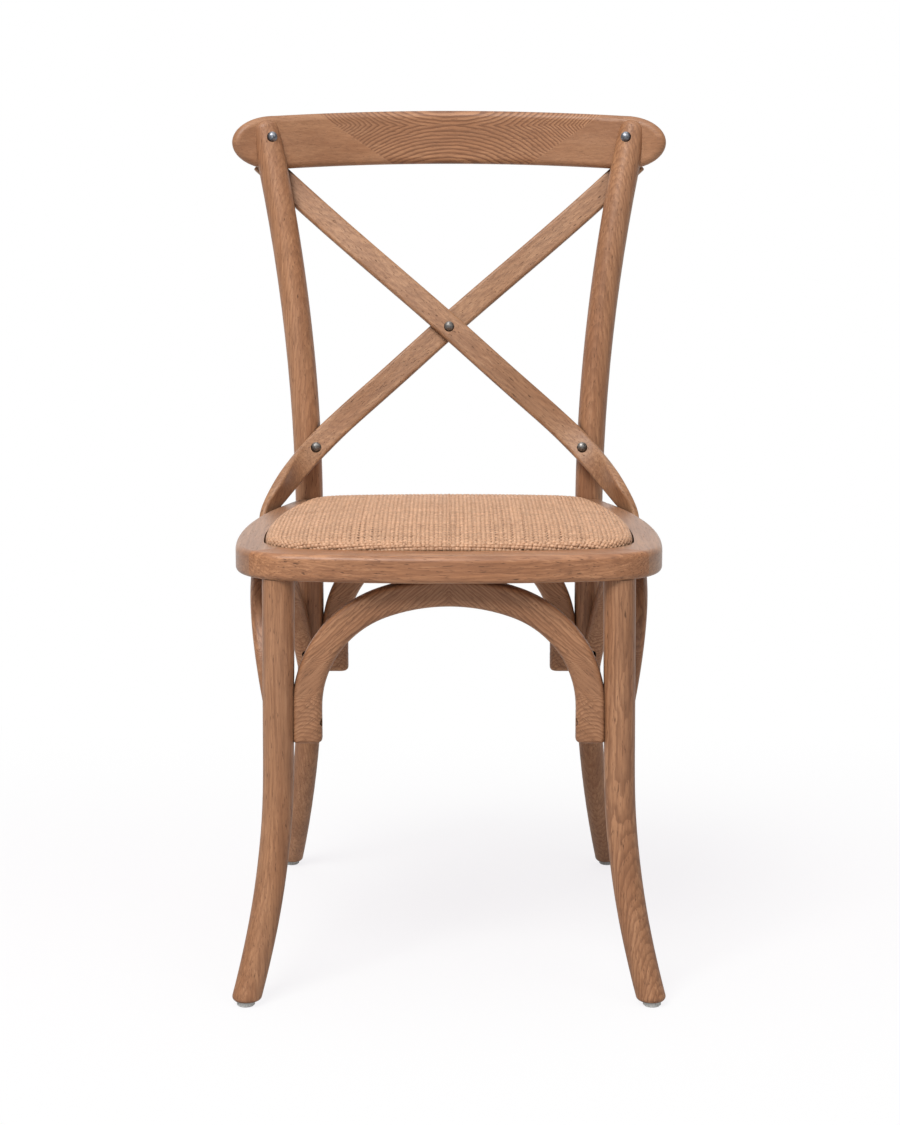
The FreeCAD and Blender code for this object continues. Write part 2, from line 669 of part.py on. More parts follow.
def head_pocket(seat, outward, radius):
    """Flat seat for a head or nut where the wood under it isn't flat."""
    return cylinder(seat, outward, radius + BOLT_CLEARANCE, HEAD_POCKET_LENGTH)


def through_bolt(x, front_y, back_y, z):
    """A domed bolt pointing backwards with its cap nut, and the bore that they need.

    The head and the nut are let a little way into the wood's front and back surfaces.
    """
    seat = Vector(x, front_y + BOLT_HEAD_SUNK, z)
    nut_seat = Vector(x, back_y - BOLT_HEAD_SUNK, z)
    grip = nut_seat.y - seat.y
    bolt = domed_bolt(seat, BACKWARD, grip + NUT_BORE_DEPTH, BOLT_HEAD_RADIUS)
    bore = cylinder(seat, BACKWARD, BOLT_RADIUS + BOLT_CLEARANCE, grip)
    bore = bore.fuse(head_pocket(seat, FORWARD, BOLT_HEAD_RADIUS))
    bore = bore.fuse(head_pocket(nut_seat, BACKWARD, BOLT_HEAD_RADIUS))
    return bolt, cap_nut(nut_seat, BACKWARD), bore


def screw(head_top, into, length):
    """A countersunk wood screw driven along into."""
    head = Part.makeCone(SCREW_HEAD_RADIUS, SCREW_RADIUS, SCREW_HEAD_HEIGHT, head_top, into)
    return head.fuse(cylinder(head_top, into, SCREW_RADIUS, length))


def screw_bore(head_top, into, sunk):
    """The wider hole that a sunk screw's head goes down."""
    radius = SCREW_HEAD_RADIUS + SCREW_HEAD_GAP
    return cylinder(head_top - into * (sunk + ARCH_WIDTH), into, radius, sunk + ARCH_WIDTH)


def cut_all(pieces, names, tools):
    for name in names:
        for tool in tools:
            if pieces[name].BoundBox.intersect(tool.BoundBox):
                pieces[name] = pieces[name].cut(tool)


def add_group(pieces, name, solids):
    pieces[name] = Part.Compound(solids)


def add_wood(pieces):
    """The wooden frame, each piece fitted to the ones that it meets."""
    bow_centre_y = crest_bow_centre()
    crest_back_radius = CREST_BOW_RADIUS + CREST_THICKNESS
    crest = crest_solid(bow_centre_y)
    lap_sector = bow_sector(bow_centre_y, CREST_BOW_RADIUS + LAP_DEPTH, CREST_BOW_RADIUS + REACH)
    lap = crest_blank().common(lap_sector)
    left_front, right_front = both_sides(front_leg())
    left_back, right_back = both_sides(back_leg().cut(lap))
    front_brace, brace_line = brace(crest_back_radius, bow_centre_y, -1)
    rear_brace = mirrored(brace(crest_back_radius, bow_centre_y, 1)[0])

    ring = seat_ring().cut(left_front).cut(right_front).cut(left_back).cut(right_back)
    pieces.update(split_ring(ring))
    pieces.update(split_crest(crest.cut(left_back).cut(right_back)))
    pieces["front_leg_left"] = left_front
    pieces["front_leg_right"] = right_front
    pieces["back_leg_left"] = left_back
    pieces["back_leg_right"] = right_back
    pieces["cross_brace_front"] = front_brace
    pieces["cross_brace_rear"] = rear_brace
    cut_all(pieces, ["crest_right_block", "back_leg_left", "seat_left_rail"], [rear_brace])
    cut_all(pieces, ["crest_left_block", "back_leg_right", "seat_right_rail", "cross_brace_rear"],
            [front_brace])

    front_plane = FRONT_LEG_SETBACK + ARCH_SETBACK
    front_arch, front_half = cross_arch(front_leg_centre, FRONT_LEG_KNEE_DIAMETER, ARCH_DROP,
                                        front_plane)
    back_arch, back_half = cross_arch(back_leg_centre, BACK_LEG_KNEE_DIAMETER, BACK_ARCH_DROP,
                                      BACK_LEG_Y)
    left_arch, right_arch = both_sides(fitted_arch(side_arch(), [right_front, right_back]))
    pieces["front_arch"] = fitted_arch(front_arch, [left_front, right_front])
    pieces["back_arch"] = fitted_arch(back_arch, [left_back, right_back])
    pieces["left_arch"] = left_arch
    pieces["right_arch"] = right_arch
    return brace_line, front_plane, front_half, back_half


def add_seat(pieces):
    """The board on the ledge, the padding on the board and the cane over both."""
    pieces["seat_board"] = opening_plate(LEDGE_HEIGHT, BOARD_THICKNESS, PAD_GAP)
    outside = crowned_pad(0, 0, BOARD_TOP)
    inside = crowned_pad(CANE_THICKNESS, CANE_THICKNESS, BOARD_TOP)
    padding = crowned_pad(CANE_THICKNESS + SOFT_GAP, CANE_THICKNESS + SOFT_GAP, BOARD_TOP)
    pieces["seat_cane"] = outside.cut(inside)
    pieces["seat_padding"] = padding


def add_bolts(pieces, brace_line):
    """Bolts through the crest rail, through the braces and through their crossing."""
    crossing = brace_line[2]
    brace_bolt = brace_line[4]
    stile = back_leg_centre(CREST_TOP - CREST_BOLT_BELOW_TOP)
    crest_x = stile.x - CREST_BOLT_INSIDE_STILE
    crest_front = front_surface_y(pieces["back_leg_right"], crest_x, stile.z)
    crest_back = back_surface_y(pieces["crest_right_block"], crest_x, stile.z)
    sets = {"crest": [], "brace": []}
    for sign, side in zip(SIDES, ("left", "right")):
        bolt, nut, bore = through_bolt(sign * crest_x, crest_front, crest_back, stile.z)
        cut_all(pieces, ["back_leg_" + side, "crest_%s_block" % side], [bore])
        sets["crest"].append((bolt, nut))
        strip = "cross_brace_front" if side == "right" else "cross_brace_rear"
        front = front_surface_y(pieces[strip], sign * brace_bolt.x, brace_bolt.z)
        back = back_surface_y(pieces["back_leg_" + side], sign * brace_bolt.x, brace_bolt.z)
        bolt, nut, bore = through_bolt(sign * brace_bolt.x, front, back, brace_bolt.z)
        cut_all(pieces, ["back_leg_" + side, strip], [bore])
        sets["brace"].append((bolt, nut))
    for name, pairs in sets.items():
        add_group(pieces, name + "_bolts", [bolt for bolt, _ in pairs])
        add_group(pieces, name + "_nuts", [nut for _, nut in pairs])
    front = front_surface_y(pieces["cross_brace_front"], 0, crossing.z)
    back = back_surface_y(pieces["cross_brace_rear"], 0, crossing.z)
    bolt, nut, bore = through_bolt(0, front, back, crossing.z)
    cut_all(pieces, ["cross_brace_front", "cross_brace_rear"], [bore])
    pieces["cross_bolt"] = bolt
    pieces["cross_nut"] = nut


def add_seat_bolts(pieces):
    """Bolts through the back legs into barrel nuts in the seat frame's back corners."""
    z = RIM_BOTTOM + RIM_THICKNESS / 2
    leg_back = BACK_LEG_Y + STILE_SEAT_DIAMETER / 2
    nut_y = leg_back - SEAT_BOLT_GRIP
    bolts = []
    nuts = []
    for sign, side in zip(SIDES, ("left", "right")):
        seat = Vector(sign * BACK_LEG_X, leg_back - BOLT_HEAD_SUNK, z)
        length = seat.y - nut_y + BARREL_NUT_RADIUS
        bolt = domed_bolt(seat, FORWARD, length, SEAT_BOLT_HEAD_RADIUS)
        bore = cylinder(seat, FORWARD, BOLT_RADIUS + BOLT_CLEARANCE, length)
        bore = bore.fuse(head_pocket(seat, BACKWARD, SEAT_BOLT_HEAD_RADIUS))
        nut = cylinder(Vector(seat.x, nut_y, RIM_BOTTOM), UP, BARREL_NUT_RADIUS,
                       RIM_THICKNESS - BARREL_NUT_BACKSET)
        cut_all(pieces, ["back_leg_" + side, "seat_%s_rail" % side], [bore, nut])
        bolts.append(bolt)
        nuts.append(nut.cut(bolt))
    add_group(pieces, "seat_bolts", bolts)
    add_group(pieces, "seat_barrel_nuts", nuts)


def drive(pieces, group, head_top, into, length, sunk, hosts):
    """Add a screw to a group and make its hole in every piece that it goes through."""
    solid = screw(head_top, into, length)
    cut_all(pieces, hosts, [screw_bore(head_top, into, sunk), solid])
    group.append(solid)


def add_screws(pieces, front_plane, front_half, back_half):
    foot_screws = []
    crown_screws = []
    head_depth = ARCH_WIDTH / 2 - FOOT_SCREW_SUNK
    for sign, side in zip(SIDES, ("left", "right")):
        outward = Vector(sign, 0, 0)
        height = RIM_BOTTOM - ARCH_DROP + FOOT_SCREW_HEIGHT
        leg_middle = front_leg_centre(height).y
        top = Vector(sign * (front_half - head_depth), leg_middle, height)
        drive(pieces, foot_screws, top, outward, FOOT_SCREW_LENGTH, FOOT_SCREW_SUNK,
              ["front_arch", "front_leg_" + side])
        height = RIM_BOTTOM - BACK_ARCH_DROP + FOOT_SCREW_HEIGHT
        top = Vector(sign * (back_half - head_depth), BACK_LEG_Y, height)
        drive(pieces, foot_screws, top, outward, FOOT_SCREW_LENGTH, FOOT_SCREW_SUNK,
              ["back_arch", "back_leg_" + side])
        middle, heading, half_span = side_arch_place()
        height = RIM_BOTTOM - ARCH_DROP + FOOT_SCREW_HEIGHT
        lean = FOOT_SCREW_HEIGHT * math.tan(math.radians(SIDE_ARCH_TILT))
        middle = Vector(sign * (middle.x + lean / 2), middle.y, height)
        heading = Vector(sign * heading.x, heading.y, 0)
        for end, leg in ((-1, "front_leg_"), (1, "back_leg_")):
            top = middle + heading * (end * (half_span - head_depth))
            drive(pieces, foot_screws, top, heading * end, FOOT_SCREW_LENGTH, FOOT_SCREW_SUNK,
                  [side + "_arch", leg + side])
        tilt = math.radians(SIDE_ARCH_TILT)
        crown_out = (ARCH_DROP - ARCH_WIDTH / 2) * math.tan(tilt)
        top = Vector(middle.x + sign * (crown_out - lean / 2), middle.y,
                     RIM_BOTTOM - ARCH_WIDTH + CROWN_SCREW_SUNK)
        drive(pieces, crown_screws, top, UP, ARCH_WIDTH - CROWN_SCREW_SUNK + CROWN_SCREW_BITE,
              CROWN_SCREW_SUNK, [side + "_arch", "seat_%s_rail" % side])
    for name, plane_y, rail in (("front_arch", front_plane, "seat_front_rail"),
                                ("back_arch", BACK_LEG_Y, "seat_back_rail")):
        top = Vector(0, plane_y, RIM_BOTTOM - ARCH_WIDTH + CROWN_SCREW_SUNK)
        drive(pieces, crown_screws, top, UP, ARCH_WIDTH - CROWN_SCREW_SUNK + CROWN_SCREW_BITE,
              CROWN_SCREW_SUNK, [name, rail])
    add_group(pieces, "arch_foot_screws", foot_screws)
    add_group(pieces, "arch_crown_screws", crown_screws)


def add_brace_screws(pieces, brace_line):
    """Screws at the braces' upper ends, driven forwards, and at their lower ends, inwards."""
    top_screws = []
    end_screws = []
    along = (brace_line[1] - brace_line[0]).normalize()
    raised = along.cross(BACKWARD).normalize()
    top = brace_line[0] + along * BRACE_TOP_SCREW_FROM_END + raised * BRACE_TOP_SCREW_RAISED
    landing = (brace_line[6] + brace_line[7]) / 2
    outward = rim_side(landing.y)[1]
    for sign, side in zip(SIDES, ("left", "right")):
        strip = "cross_brace_front" if side == "left" else "cross_brace_rear"
        back = back_surface_y(pieces[strip], sign * abs(top.x), top.z)
        start = Vector(sign * abs(top.x), back, top.z)
        drive(pieces, top_screws, start, FORWARD, BRACE_THICKNESS + BRACE_TOP_SCREW_BITE, 0,
              [strip, "crest_%s_block" % side])
        strip = "cross_brace_front" if side == "right" else "cross_brace_rear"
        out = Vector(sign * outward.x, outward.y, 0)
        depth = BRACE_THICKNESS / 2 - BRACE_END_SCREW_SUNK
        start = Vector(sign * landing.x, landing.y, landing.z) + out * depth
        drive(pieces, end_screws, start, out * -1, BRACE_THICKNESS + BRACE_END_SCREW_BITE,
              BRACE_END_SCREW_SUNK, [strip, "seat_%s_rail" % side])
    add_group(pieces, "brace_top_screws", top_screws)
    add_group(pieces, "brace_end_screws", end_screws)


def add_board_screws(pieces):
    """Screws up through the ledge into the seat board: two in front, two behind, one a side."""
    ledge = LEDGE_WIDTH / 2
    front_y = RIM_FRONT_WIDTH + ledge
    back_y = SEAT_DEPTH - RIM_BACK_WIDTH - ledge
    side_x = HALF_WIDTH - RIM_SIDE_WIDTH - ledge
    bow = BOARD_SCREW_SPREAD ** 2 / (2 * FRONT_BOW_RADIUS)
    places = []
    for sign, side in zip(SIDES, ("left", "right")):
        places.append((sign * BOARD_SCREW_SPREAD, front_y + bow, "seat_front_rail"))
        places.append((sign * BOARD_SCREW_SPREAD, back_y - bow, "seat_back_rail"))
        places.append((sign * side_x, WIDEST_PLACE, "seat_%s_rail" % side))
    screws = []
    length = LEDGE_HEIGHT - RIM_BOTTOM - BOARD_SCREW_SUNK + BOARD_SCREW_BITE
    for x, y, rail in places:
        head_top = Vector(x, y, RIM_BOTTOM + BOARD_SCREW_SUNK)
        drive(pieces, screws, head_top, UP, length, BOARD_SCREW_SUNK, [rail, "seat_board"])
    add_group(pieces, "seat_board_screws", screws)


def add_dowels(pieces):
    dowels = []
    bow = BACK_RAIL_HALF_LENGTH ** 2 / (2 * BACK_BOW_RADIUS)
    centre_y = SEAT_DEPTH - bow - RIM_BACK_WIDTH / 2
    z = RIM_BOTTOM + RIM_THICKNESS / 2
    for sign, side in zip(SIDES, ("left", "right")):
        for row in SIDES:
            start = Vector(sign * BACK_RAIL_HALF_LENGTH - DOWEL_LENGTH / 2,
                           centre_y + row * DOWEL_SPACING / 2, z)
            dowel = cylinder(start, Vector(1, 0, 0), DOWEL_RADIUS, DOWEL_LENGTH)
            cut_all(pieces, ["seat_back_rail", "seat_%s_rail" % side], [dowel])
            dowels.append(dowel)
    add_group(pieces, "seat_rail_dowels", dowels)


def add_glides(pieces):
    """A flat round glide under each foot, held by a nail whose head is sunk in the glide."""
    nails = []
    for place, centre_at in (("front", front_leg_centre), ("back", back_leg_centre)):
        for sign, side in zip(SIDES, ("left", "right")):
            centre = centre_at(GLIDE_HEIGHT)
            base = Vector(sign * centre.x, centre.y, 0)
            glide = cylinder(base, UP, GLIDE_RADIUS, GLIDE_HEIGHT)
            glide = glide.makeChamfer(GLIDE_CHAMFER, flat_edges(glide, 0))
            head = cylinder(base + UP * NAIL_HEAD_SUNK, UP, NAIL_HEAD_RADIUS, NAIL_HEAD_HEIGHT)
            shank = cylinder(base + UP * NAIL_HEAD_SUNK, UP, NAIL_RADIUS, NAIL_LENGTH)
            nail = head.fuse(shank)
            access = cylinder(base, UP, NAIL_HEAD_RADIUS, NAIL_HEAD_SUNK)
            pieces["glide_%s_%s" % (place, side)] = glide.cut(nail).cut(access)
            cut_all(pieces, ["%s_leg_%s" % (place, side)], [nail])
            nails.append(nail)
    add_group(pieces, "glide_nails", nails)


def main():
    pieces = {}
    brace_line, front_plane, front_half, back_half = add_wood(pieces)
    add_seat(pieces)
    add_bolts(pieces, brace_line)
    add_seat_bolts(pieces)
    add_screws(pieces, front_plane, front_half, back_half)
    add_brace_screws(pieces, brace_line)
    add_board_screws(pieces)
    add_dowels(pieces)
    add_glides(pieces)

    whole = FreeCAD.BoundBox()
    for shape in pieces.values():
        whole.add(shape.optimalBoundingBox(False, False))
    centring = Vector(0, -whole.Center.y, 0)
    os.makedirs("parts", exist_ok=True)
    for name, shape in sorted(pieces.items()):
        shape.translate(centring)
        shape.exportStep("parts/%s.step" % name)
        print("%-22s %d solids, %.0f mm3" % (name, len(shape.Solids), shape.Volume))


main()
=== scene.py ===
"""Cross back chair: finishes, woven cane seat, floor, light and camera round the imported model.

Metres, +Z up. The chair faces -Y, and left is the side of -X, as seen from the front.
"""
import math

import bpy
import numpy as np
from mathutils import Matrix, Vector
from mathutils.bvhtree import BVHTree


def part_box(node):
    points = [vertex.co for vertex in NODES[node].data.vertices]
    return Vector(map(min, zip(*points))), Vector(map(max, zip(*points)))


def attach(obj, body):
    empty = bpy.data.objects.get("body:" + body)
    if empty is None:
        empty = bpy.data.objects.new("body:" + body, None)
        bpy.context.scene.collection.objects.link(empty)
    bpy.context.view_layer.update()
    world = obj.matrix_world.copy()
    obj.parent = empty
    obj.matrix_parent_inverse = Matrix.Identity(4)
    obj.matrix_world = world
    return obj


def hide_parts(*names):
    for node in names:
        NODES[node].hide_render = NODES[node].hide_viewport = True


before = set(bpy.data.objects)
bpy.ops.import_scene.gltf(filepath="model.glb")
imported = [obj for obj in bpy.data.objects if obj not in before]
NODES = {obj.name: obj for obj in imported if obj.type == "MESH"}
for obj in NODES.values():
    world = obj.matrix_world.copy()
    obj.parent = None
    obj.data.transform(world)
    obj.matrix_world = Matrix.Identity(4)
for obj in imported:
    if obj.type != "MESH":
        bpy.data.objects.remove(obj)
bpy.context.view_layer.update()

MILLIMETRE = 0.001
X_AXIS = Vector((1, 0, 0))
Y_AXIS = Vector((0, 1, 0))
Z_AXIS = Vector((0, 0, 1))

# Wood colours, from the palest grain to the open pores
WOOD_PALE = (0.420, 0.215, 0.115)
WOOD_MIDDLE = (0.330, 0.155, 0.078)
WOOD_DEEP = (0.200, 0.088, 0.043)
WOOD_PORE = (0.085, 0.036, 0.019)
WOOD_LIGHT = (0.520, 0.290, 0.165)
# Painted shade for corners, joints and bores, and how far from other surfaces it reaches
WOOD_PAINTED_SHADE = (0.045, 0.020, 0.012)
PAINTED_SHADE_REACH = 14.0 * MILLIMETRE
WEAR_WIDTH = 1.6 * MILLIMETRE

# How fine the wood's pattern is: grains per metre along the fibres, across them and into the wood
DRIFT_FINENESS = (7, 30, 30)
TREMOR_FINENESS = (48, 150, 150)
BROAD_FINENESS = (4, 42, 42)
PATCH_FINENESS = (9, 20, 20)
STREAK_FINENESS = (16, 340, 340)
FIBRE_FINENESS = (55, 720, 720)
PORE_FINENESS = (95, 900, 900)
WARMTH_FINENESS = (6, 28, 28)
SEED_SHIFT = (3.1, 0.7, 0.0)

# Year rings: how far they waver, and where in a year, from 0 to 1, the wood turns dark and pale
RING_DRIFT = 0.012
RING_TREMOR = 0.0034
LATE_WOOD = (0.30, 0.90)
LATE_WOOD_END = (0.94, 1.0)
EARLY_WOOD_END = (0.15, 0.55)

# The values between which each part of the pattern comes in, and its full strength
BROAD_RANGE = (0.34, 0.66)
PORE_RANGE = (0.57, 0.69)
DARK_STREAK_RANGE = (0.42, 0.70)
DARK_STREAK_STRENGTH = 0.56
PALE_STREAK_RANGE = (0.44, 0.28)
PALE_STREAK_STRENGTH = 0.45
# Painted shade: the occlusion values over which it comes in, and its full strength
PAINTED_SHADE_RANGE = (0.16, 0.70)
PAINTED_SHADE_STRENGTH = 0.85
WEAR_TURN_RANGE = (0.985, 0.90)
WEAR_STREAK_RANGE = (0.62, 0.40)
WEAR_STRENGTH = 0.35
WARMTH_STRENGTH = 0.30
WARMTH_ON_GREEN = -0.35

# What a part of the pattern adds at its full strength, and what is there without it
PORES_BY_EARLY_WOOD = (0.6, 0.4)
RINGS_BY_PATCH = (0.9, 0.35)
TONE_BY_PATCH = (0.30, 0.85)
TONE_BY_FIBRE = (0.34, 0.83)
ROUGHNESS_BY_FIBRE = (0.20, 0.42)
PORE_ROUGHNESS = 0.25
RING_RELIEF = 0.4
STREAK_RELIEF = 0.5

# Metal and plastic
CLOUD_FINENESS = (420, 420, 420)
CLOUD_RANGE = (0.40, 0.66)
CLOUD_ROUGHNESS = 0.25
SCRATCH_FINENESS = (2600, 260, 2600)
SCRATCH_ROUGHNESS = 0.12
PLASTIC_CLEAN = (0.62, 0.63, 0.62)
PLASTIC_SCUFFED = (0.40, 0.40, 0.39)
SCUFF_FINENESS = (900, 900, 300)
SCUFF_RANGE = (0.45, 0.7)
ROUGHNESS_BY_SCUFF = (0.3, 0.35)

# The figure of the wood on the crest rail, the arches and the braces; the rise is in degrees
CREST_SADDLE_DEPTH = 16.0 * MILLIMETRE
ARCH_FOOT_LENGTH = 60.0 * MILLIMETRE
ARCH_FOOT_WIDTH = 26.0 * MILLIMETRE
ARCH_GRAIN_RISE = 42.0
ARCH_FOOT_FADE = (0.7, 1.5)
ARCH_ARC_SPACING = 0.85
ARCH_ARC_BULGE = 30.0
HOURGLASS_DEPTH = 0.3
BRACE_RUN = Vector((0.745, 0, -0.667))
BRACE_RISE = Vector((0.667, 0, 0.745))
BRACE_END_BEND = 5.5

# Woven cane
CANE_PITCH = 4.3 * MILLIMETRE
CANE_STRAND_WIDTH = 3.75 * MILLIMETRE
CANE_STRAND_THICKNESS = 1.0 * MILLIMETRE
CANE_WAVE = 0.75 * MILLIMETRE
CANE_JITTER = 0.34 * MILLIMETRE
CANE_EDGE_GAP = 1.2 * MILLIMETRE
CANE_PALE = (0.630, 0.380, 0.235)
CANE_DARK = (0.440, 0.236, 0.134)
CANE_FLECK = (0.240, 0.110, 0.052)
CANE_SEED = 7
CANE_WIDTH_RANGE = (0.82, 1.10)
CANE_SWAY_LENGTH = 0.03
CANE_SWAY_TURN = 6.28
STEPS_PER_CROSSING = 3
SHORTEST_STRAND = 6
STRAND_SHOULDER = (0.86, 0.5)
SURFACE_NUDGE = 0.2 * MILLIMETRE
RUN_SPACING = 0.01
CANE_FIBRE_FINENESS = (60, 1500, 1500)
CANE_STAIN_FINENESS = (40, 40, 40)
CANE_KNOT_FINENESS = (170, 260, 260)
CANE_FIBRE_RANGE = (0.32, 0.72)
CANE_FLECK_RANGE = (0.42, 0.30)
CANE_FLECK_STRENGTH = 0.80
CANE_TONE_BY_STRAND = (0.20, 0.88)
# Painted shade: strands darken where they dip under the strands that cross them
CANE_PAINTED_SHADE_BY_RISE = (0.50, 0.58)
CANE_TONE_BY_STAIN = (0.36, 0.82)
CANE_TONE_BY_KNOT = (0.76, 0.62)
CANE_ROUGHNESS_BY_FIBRE = (0.25, 0.38)

# The crowned seat's profile, from its middle to its edge
SEAT_CROWN = 19.5 * MILLIMETRE
SEAT_WALL = 7.0 * MILLIMETRE
SEAT_DIP = 6.0 * MILLIMETRE
SEAT_FULLNESS = 2.2
SEAT_SHOULDER = 0.80
SEAT_CORNER_ROUNDING = 15.0 * MILLIMETRE
PROFILE_STEPS = 600
PAD_BELOW_CANE = 1.6 * MILLIMETRE
PAD_COLOUR = (0.150, 0.070, 0.034)
PAD_DARKENING = 0.45
THREAD_FINENESS = (1400, 1400, 1400)
OUTLINE_STEPS = 180
OUTLINE_DEPTH = 2.0 * MILLIMETRE
NEARLY_ZERO = 1e-12
PAD_RINGS = 48

# Camera, as the photograph was taken
IMAGE_WIDTH = 900
IMAGE_HEIGHT = 1125
FOCAL_PIXELS = 2349
SENSOR = 36.0
CAMERA_DISTANCE = 2.224
CAMERA_HEIGHT = 0.840
CAMERA_PITCH = 9.95
CHAIR_MIDDLE_PIXEL = 448.9

# Studio
WHITE = (1.0, 1.0, 1.0)
FLOOR_SIZE = 14.0
SWEEP_START = 2.2
SWEEP_RADIUS = 1.2
SWEEP_HEIGHT = 4.5
SWEEP_STEPS = 12
SHADE_MIDDLE = 0.10
SHADE_REACH = 0.80
FLOOR_SHADE = (0.155, 0.165, 0.155)
FLOOR_GLOW = (0.812, 0.792, 0.812)
FLOOR_MATT = (0.68, 0.675, 0.67)
MIRRORED_RANGE = (-0.3, 1.2)
MIRRORED_STRENGTH = (0.6, 0.4)
FILL_COLOUR = (1.0, 0.99, 0.98)
FILL_STRENGTH = 0.28
LIGHT_TARGET = (0, 0, 0.40)
LIGHTS = {
    "overhead": dict(place=(0.0, 0.3, 4.5), size=3.0, power=42, colour=WHITE),
    "front_left": dict(place=(-1.5, -3.2, 4.4), size=2.4, power=255, colour=(1.0, 0.985, 0.97)),
    "front_right": dict(place=(2.4, -3.0, 3.6), size=2.4, power=26, colour=WHITE),
}


# Node trees

class Tree:
    """A material's node tree with short ways to add and link nodes."""

    def __init__(self, name):
        self.material = bpy.data.materials.new(name)
        self.material.use_nodes = True
        self.nodes = self.material.node_tree.nodes
        self.links = self.material.node_tree.links
        self.nodes.clear()

    def add(self, kind, inputs=None, **settings):
        """Add a node; an input is given a value or linked to another node's output."""
        node = self.nodes.new("ShaderNode" + kind)
        for name, setting in settings.items():
            setattr(node, name, setting)
        for name, source in (inputs or {}).items():
            if isinstance(source, bpy.types.NodeSocket):
                self.links.new(source, node.inputs[name])
            else:
                node.inputs[name].default_value = source
        return node

    def math(self, operation, *sources, clamp=False):
        node = self.add("Math", dict(enumerate(sources)), operation=operation, use_clamp=clamp)
        return node.outputs[0]

    def vector(self, x, y, z):
        return self.add("CombineXYZ", {0: x, 1: y, 2: z}).outputs[0]

    def dot(self, place, direction):
        node = self.add("VectorMath", {0: place, 1: tuple(direction)}, operation="DOT_PRODUCT")
        return node.outputs["Value"]

    def stretch(self, place, factors):
        return self.add("VectorMath", {0: place, 1: factors}, operation="MULTIPLY").outputs[0]

    def noise(self, place, factors, detail=2.0, roughness=0.5):
        """Noise from 0 to 1 whose grains are 1 / factors metres long along each axis."""
        node = self.add("TexNoise", {"Vector": self.stretch(place, factors), "Scale": 1.0,
                                     "Detail": detail, "Roughness": roughness})
        return node.outputs["Fac"]

    def centred(self, value, size):
        """A value from 0 to 1 as one round 0 that is size wide."""
        return self.math("MULTIPLY", self.math("SUBTRACT", value, 0.5), size)

    def ramp(self, value, low, high):
        """0 below low, 1 above high and smooth between them."""
        node = self.add("MapRange", {"Value": value, "From Min": low, "From Max": high},
                        interpolation_type="SMOOTHSTEP")
        return node.outputs["Result"]

    def mix(self, factor, first, second, blend="MIX"):
        """Mix two colours."""
        node = self.add("Mix", data_type="RGBA", blend_type=blend)
        for index, source in ((0, factor), (6, first), (7, second)):
            if isinstance(source, bpy.types.NodeSocket):
                self.links.new(source, node.inputs[index])
            else:
                node.inputs[index].default_value = source if index == 0 else (*source, 1.0)
        return node.outputs[2]

    def bump(self, height, distance, strength=1.0):
        node = self.add("Bump", {"Height": height, "Distance": distance, "Strength": strength})
        return node.outputs["Normal"]

    def finish(self, inputs):
        shader = self.add("BsdfPrincipled", inputs)
        output = self.add("OutputMaterial")
        self.links.new(shader.outputs[0], output.inputs["Surface"])
        return self.material


def straight_grain(along, across):
    """Grain coordinates for a piece whose fibres run straight along one direction."""
    along = along.normalized()
    across = (across - along * across.dot(along)).normalized()
    normal = along.cross(across)

    def build(tree, place):
        return tree.vector(tree.dot(place, along), tree.dot(place, across), tree.dot(place, normal))

    return build


def brace_grain(sign, bolt_height, bend):
    """Straight down to the bolt, then swept round with the strip's lower end."""
    def build(tree, place):
        height = tree.dot(place, Z_AXIS)
        below = tree.math("MINIMUM", tree.math("SUBTRACT", height, bolt_height), 0.0)
        sideways = tree.math("MULTIPLY", tree.math("MULTIPLY", below, below), bend)
        x = tree.math("MULTIPLY_ADD", tree.dot(place, X_AXIS), sign, sideways)
        moved = tree.vector(x, tree.dot(place, Y_AXIS), height)
        return straight_grain(BRACE_RUN, BRACE_RISE)(tree, moved)

    return build


def arch_grain(origin, span, up):
    """Both halves of an arch alike, sawn from boards whose grain rises towards the crown."""
    normal = span.cross(up)
    rise = math.radians(ARCH_GRAIN_RISE)

    def build(tree, place):
        local = tree.add("VectorMath", {0: place, 1: tuple(origin)}, operation="SUBTRACT").outputs[0]
        folded = tree.vector(tree.math("ABSOLUTE", tree.dot(local, span)), tree.dot(local, up),
                             tree.dot(local, normal))
        return tree.vector(tree.dot(folded, (-math.cos(rise), math.sin(rise), 0)),
                           tree.dot(folded, (math.sin(rise), math.cos(rise), 0)),
                           tree.dot(folded, (0, 0, 1)))

    return build


def heart_figure(heart, tilt=(0.02, 0.03)):
    """Year rings round a heart that runs beside the piece and slopes along it."""
    def build(tree, along, across, behind):
        aside = tree.math("ADD", tree.math("MULTIPLY_ADD", along, tilt[0], across), heart[0])
        deep = tree.math("ADD", tree.math("MULTIPLY_ADD", along, tilt[1], behind), heart[1])
        return tree.math("SQRT", tree.math("MULTIPLY_ADD", aside, aside, tree.math("MULTIPLY", deep, deep)))

    return build


def hourglass_figure(height, steepness, spread):
    """Nested arrowheads that point to the middle from both sides, with arcs above and below them."""
    def build(tree, along, across, behind):
        away = tree.math("ABSOLUTE", tree.math("SUBTRACT", across, height))
        inward = tree.math("MULTIPLY", tree.math("MULTIPLY", along, along), -spread)
        return tree.math("ADD", tree.math("MULTIPLY_ADD", away, steepness, inward),
                         tree.math("MULTIPLY", behind, HOURGLASS_DEPTH))

    return build


